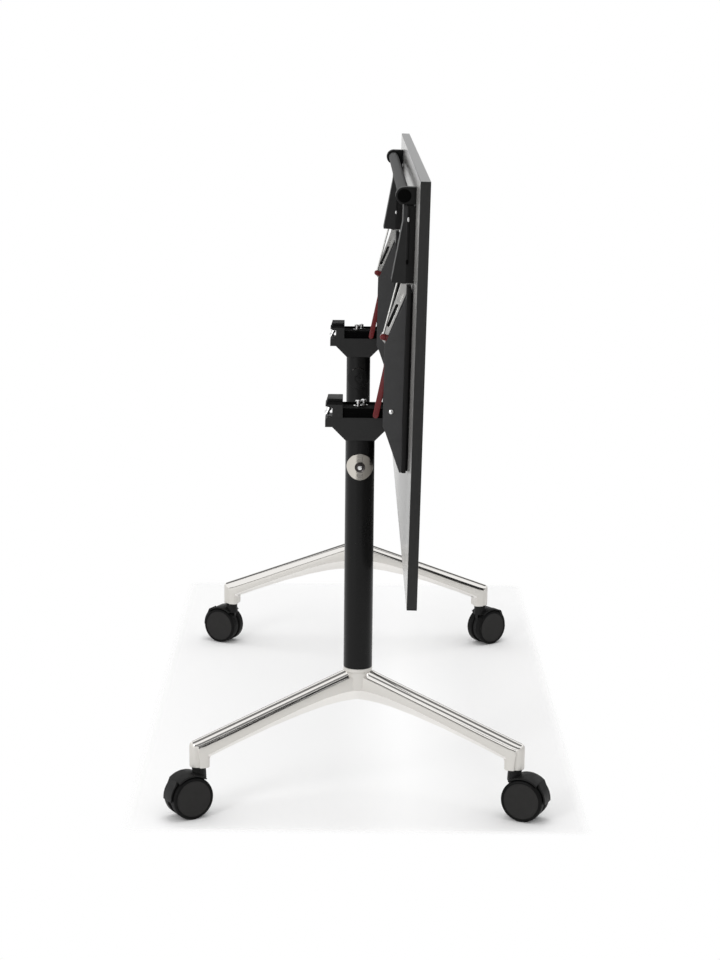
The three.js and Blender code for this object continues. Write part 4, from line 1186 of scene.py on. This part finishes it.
def wheel_mesh(sign):
    """A wheel with a rounded tread, a raised rim and a flat dished face, which has the second finish."""
    radius = sizes().wheel_radius
    inside = WEB_HALF + WHEEL_GAP
    outside = inside + sizes().wheel_width
    profile = [(0, inside)]
    profile += [(radius - step * MM, inside + rise * MM) for step, rise in WHEEL_INNER]
    profile += [(radius - step * MM, outside - drop * MM) for step, drop in WHEEL_OUTER]
    profile += [(radius * 0.5, outside - 1.0 * MM), (0, outside - 0.9 * MM)]
    bm = turned(profile, 72)
    for face in bm.faces:
        centre = face.calc_center_median()
        dished = centre.xy.length < radius - WHEEL_FACE_INSET and centre.z > inside + WHEEL_FACE_DEPTH
        face.material_index = int(dished)
    move(bm, along_x(0, HUB_TRAIL, radius))
    if sign < 0:
        bmesh.ops.scale(bm, vec=(-1, 1, 1), verts=bm.verts)
        bmesh.ops.reverse_faces(bm, faces=bm.faces)
    return bm


def pedal_mesh():
    """The brake pedal behind the wheels: a curved shield with a pointed lip, and a tongue."""
    low, high = PEDAL_ANGLES
    tip = axle() + Vector((math.cos(PEDAL_TIP), math.sin(PEDAL_TIP))) * (HOOD_OUT + PEDAL_LIP)
    outline = [*arc(axle(), HOOD_OUT, low, high, 14), tuple(tip)]
    outline += arc(axle(), HOOD_IN, PEDAL_INNER_END, low, 14)
    tongue = slab(band(sizes().wheel_radius - 2.7 * MM, HOOD_LAP, PEDAL_ANGLES, 12), -WEB_HALF, WEB_HALF)
    return merge(ease(slab(outline, -PEDAL_HALF, PEDAL_HALF), 0.8 * MM, 2, 50), tongue)


class FLIPTABLE_OT_casters(bpy.types.Operator):
    """Make the casters with wheels and brakes"""
    bl_idname = "fliptable.casters"
    bl_label = "Casters"

    def execute(self, context):
        for name in CASTERS:
            place = caster_frame(name)
            piece(f"caster_fork_{name}", move(caster_body_mesh(), place), ["nylon"], f"caster_{name}",
                  [f"caster_body_{name}"])
            for which, sign in (("a", 1), ("b", -1)):
                node = f"caster_wheel_{which}_{name}"
                wheel = move(wheel_mesh(sign), place)
                piece(f"caster_tyre_{which}_{name}", wheel, ["tyre", "wheel_face"], node,
                      [node])
            node = f"caster_pedal_{name}"
            pedal = move(pedal_mesh(), place)
            piece(f"caster_brake_{name}", pedal, ["nylon"], node, [node])
        return {"FINISHED"}


# Stage

CAMERA_PLACE = (4.3568, -0.0214, 1.3773)
CAMERA_PITCH = 11.633
CAMERA_YAW = 0.324
CAMERA_ROLL = 0.594
CAMERA_LENS = 86.39
SENSOR_HEIGHT = 36
FLOOR_NEAR, FLOOR_FAR, FLOOR_HALF = 0.62, -1.06, 0.378
FLOOR_FADE = 0.03
FLOOR_SIZE = 1.6
LIGHT_STRENGTH = 0.80
SEEN_STRENGTH = 1.0
SOFTBOX_POWER = 30


class Softbox(NamedTuple):
    """An oblong light, which metal may mirror or not."""
    place: tuple
    target: tuple
    size: tuple
    mirrored: bool


SOFTBOXES = {
    "key_softbox": Softbox((3.4, -2.1, 1.9), (0, 0, 0.6), (0.8, 2.2), True),
    "top_softbox": Softbox((0, 0, 3.2), (0, 0, 0), (2.6, 2.0), False),
}
# Grey value and corners of each dark card
CARDS = {
    "card_right": (0.03, ((8, 1.6, 0.02), (-6, 1.6, 0.02), (-6, 1.6, 0.42), (8, 1.6, 0.42))),
    "card_low": (0.12, ((2.7, -1.25, 0.002), (4.7, -1.25, 0.002), (4.7, 1.6, 0.002), (2.7, 1.6, 0.002))),
    "card_top": (0.25, ((-1.0, -3, 3), (1.3, -3, 3), (1.3, 3, 3), (-1.0, 3, 3))),
    "card_front": (0.25, ((4.8, -3, 0.9), (4.8, 3, 0.9), (4.8, 3, 3.6), (4.8, -3, 3.6))),
    "card_back": (0.17, ((-1.3, -1, 0.5), (-1.3, 1, 0.5), (-0.72, 1, 0.8), (-0.72, -1, 0.8))),
}


def make_camera():
    pitch, yaw, roll = (math.radians(angle) for angle in (CAMERA_PITCH, CAMERA_YAW, CAMERA_ROLL))
    ahead = Vector((-math.cos(pitch) * math.cos(yaw), math.cos(pitch) * math.sin(yaw), -math.sin(pitch)))
    right = ahead.cross(UP).normalized()
    above = right.cross(ahead)
    side = right * math.cos(roll) + above * math.sin(roll)
    top = above * math.cos(roll) - right * math.sin(roll)
    camera = bpy.data.cameras.new("camera")
    camera.sensor_fit = "VERTICAL"
    camera.sensor_height = SENSOR_HEIGHT
    camera.lens = CAMERA_LENS
    obj = bpy.data.objects.new("camera", camera)
    obj.matrix_world = Matrix.Translation(CAMERA_PLACE) @ Matrix((side, top, -ahead)).transposed().to_4x4()
    bpy.context.scene.collection.objects.link(obj)
    bpy.context.scene.camera = obj


def stage_piece(name, bm, material, reflected_only=False):
    """Put a bmesh on the stage, where it may show in reflections alone."""
    mesh = bpy.data.meshes.new(name)
    bm.to_mesh(mesh)
    bm.free()
    mesh.materials.append(material)
    obj = bpy.data.objects.new(name, mesh)
    if reflected_only:
        obj.visible_camera = False
        obj.visible_diffuse = False
        obj.visible_shadow = False
    bpy.context.scene.collection.objects.link(obj)


def floor_material():
    """A pale floor that fades into the background round its edges."""
    material = painted("pale_floor", colours().floor, 0.9, specular=0.1)
    tree = material.node_tree
    centre = ((FLOOR_NEAR + FLOOR_FAR) / 2, 0, 0)
    half = ((FLOOR_NEAR - FLOOR_FAR) / 2, FLOOR_HALF, 1)
    nothing = (0, 0, 0)
    source = tree.nodes.new("ShaderNodeTexCoord").outputs["Object"]
    steps = (("SUBTRACT", centre), ("ABSOLUTE", nothing), ("SUBTRACT", half), ("MAXIMUM", nothing))
    for operation, value in steps:
        step = tree.nodes.new("ShaderNodeVectorMath")
        step.operation = operation
        step.inputs[1].default_value = value
        tree.links.new(source, step.inputs[0])
        source = step.outputs["Vector"]
    distance = tree.nodes.new("ShaderNodeVectorMath")
    distance.operation = "LENGTH"
    tree.links.new(source, distance.inputs[0])
    ramp = tree.nodes.new("ShaderNodeMapRange")
    ramp.interpolation_type = "SMOOTHSTEP"
    ramp.inputs["From Max"].default_value = FLOOR_FADE
    clear = tree.nodes.new("ShaderNodeBsdfTransparent")
    mix = tree.nodes.new("ShaderNodeMixShader")
    tree.links.new(distance.outputs["Value"], ramp.inputs["Value"])
    tree.links.new(ramp.outputs["Result"], mix.inputs["Fac"])
    tree.links.new(tree.nodes["Principled BSDF"].outputs["BSDF"], mix.inputs[1])
    tree.links.new(clear.outputs["BSDF"], mix.inputs[2])
    tree.links.new(mix.outputs["Shader"], tree.nodes["Material Output"].inputs["Surface"])
    return material


def make_floor():
    bm = bmesh.new()
    bmesh.ops.create_grid(bm, x_segments=1, y_segments=1, size=FLOOR_SIZE)
    stage_piece("studio_floor", bm, floor_material())


def make_world():
    """A white surround that the camera and metal see, with softer light on the object."""
    world = bpy.data.worlds.new("studio")
    world.use_nodes = True
    tree = world.node_tree
    light = tree.nodes["Background"]
    seen = tree.nodes.new("ShaderNodeBackground")
    for background, strength in ((light, LIGHT_STRENGTH), (seen, SEEN_STRENGTH)):
        background.inputs["Color"].default_value = (1, 1, 1, 1)
        background.inputs["Strength"].default_value = strength
    path = tree.nodes.new("ShaderNodeLightPath")
    factor = path.outputs["Is Camera Ray"]
    for ray in ("Is Glossy Ray", "Is Transmission Ray"):
        either = tree.nodes.new("ShaderNodeMath")
        either.operation = "MAXIMUM"
        tree.links.new(factor, either.inputs[0])
        tree.links.new(path.outputs[ray], either.inputs[1])
        factor = either.outputs["Value"]
    mix = tree.nodes.new("ShaderNodeMixShader")
    tree.links.new(factor, mix.inputs["Fac"])
    tree.links.new(light.outputs["Background"], mix.inputs[1])
    tree.links.new(seen.outputs["Background"], mix.inputs[2])
    tree.links.new(mix.outputs["Shader"], tree.nodes["World Output"].inputs["Surface"])
    bpy.context.scene.world = world


def make_light(name, softbox):
    lamp = bpy.data.lights.new(name, "AREA")
    lamp.shape = "RECTANGLE"
    lamp.size, lamp.size_y = softbox.size
    lamp.energy = SOFTBOX_POWER
    obj = bpy.data.objects.new(name, lamp)
    aim = Vector(softbox.target) - Vector(softbox.place)
    obj.matrix_world = Matrix.Translation(softbox.place) @ aim.to_track_quat("-Z", "Y").to_matrix().to_4x4()
    obj.visible_glossy = softbox.mirrored
    bpy.context.scene.collection.objects.link(obj)


def make_card(name, value, corners):
    """A dark card that only reflections see."""
    bm = bmesh.new()
    bm.faces.new([bm.verts.new(corner) for corner in corners])
    stage_piece(name, bm, painted(name, (value, value, value), 1.0, specular=0.0), True)


class FLIPTABLE_OT_stage(bpy.types.Operator):
    """Make the camera, floor and light"""
    bl_idname = "fliptable.stage"
    bl_label = "Stage"

    def execute(self, context):
        make_camera()
        make_floor()
        make_world()
        for name, softbox in SOFTBOXES.items():
            make_light(name, softbox)
        for name, (value, corners) in CARDS.items():
            make_card(name, value, corners)
        context.scene.view_settings.view_transform = "Standard"
        return {"FINISHED"}


OPERATORS = (
    FLIPTABLE_OT_worktop,
    FLIPTABLE_OT_columns,
    FLIPTABLE_OT_link_discs,
    FLIPTABLE_OT_heads,
    FLIPTABLE_OT_rest_pads,
    FLIPTABLE_OT_head_hardware,
    FLIPTABLE_OT_feet,
    FLIPTABLE_OT_channels,
    FLIPTABLE_OT_side_plates,
    FLIPTABLE_OT_pivot_bolts,
    FLIPTABLE_OT_pawls,
    FLIPTABLE_OT_pull_rods,
    FLIPTABLE_OT_guides,
    FLIPTABLE_OT_housings,
    FLIPTABLE_OT_handle,
    FLIPTABLE_OT_casters,
    FLIPTABLE_OT_stage,
)


class FLIPTABLE_PT_pieces(bpy.types.Panel):
    """Lists the operators that make the table."""
    bl_label = "Flip Table"
    bl_idname = "FLIPTABLE_PT_pieces"
    bl_space_type = "VIEW_3D"
    bl_region_type = "UI"
    bl_category = "Flip Table"

    def draw(self, context):
        for item in OPERATORS:
            self.layout.operator(item.bl_idname)


CLASSES = (TableSizes, TableColours, *OPERATORS, FLIPTABLE_PT_pieces)


def register():
    for item in CLASSES:
        bpy.utils.register_class(item)
    bpy.types.Scene.flip_table_sizes = PointerProperty(type=TableSizes)
    bpy.types.Scene.flip_table_colours = PointerProperty(type=TableColours)


def unregister():
    del bpy.types.Scene.flip_table_colours
    del bpy.types.Scene.flip_table_sizes
    for item in reversed(CLASSES):
        bpy.utils.unregister_class(item)


def main():
    register()
    for item in OPERATORS:
        getattr(bpy.ops.fliptable, item.bl_idname.split(".")[1])()


if __name__ == "__main__":
    main()
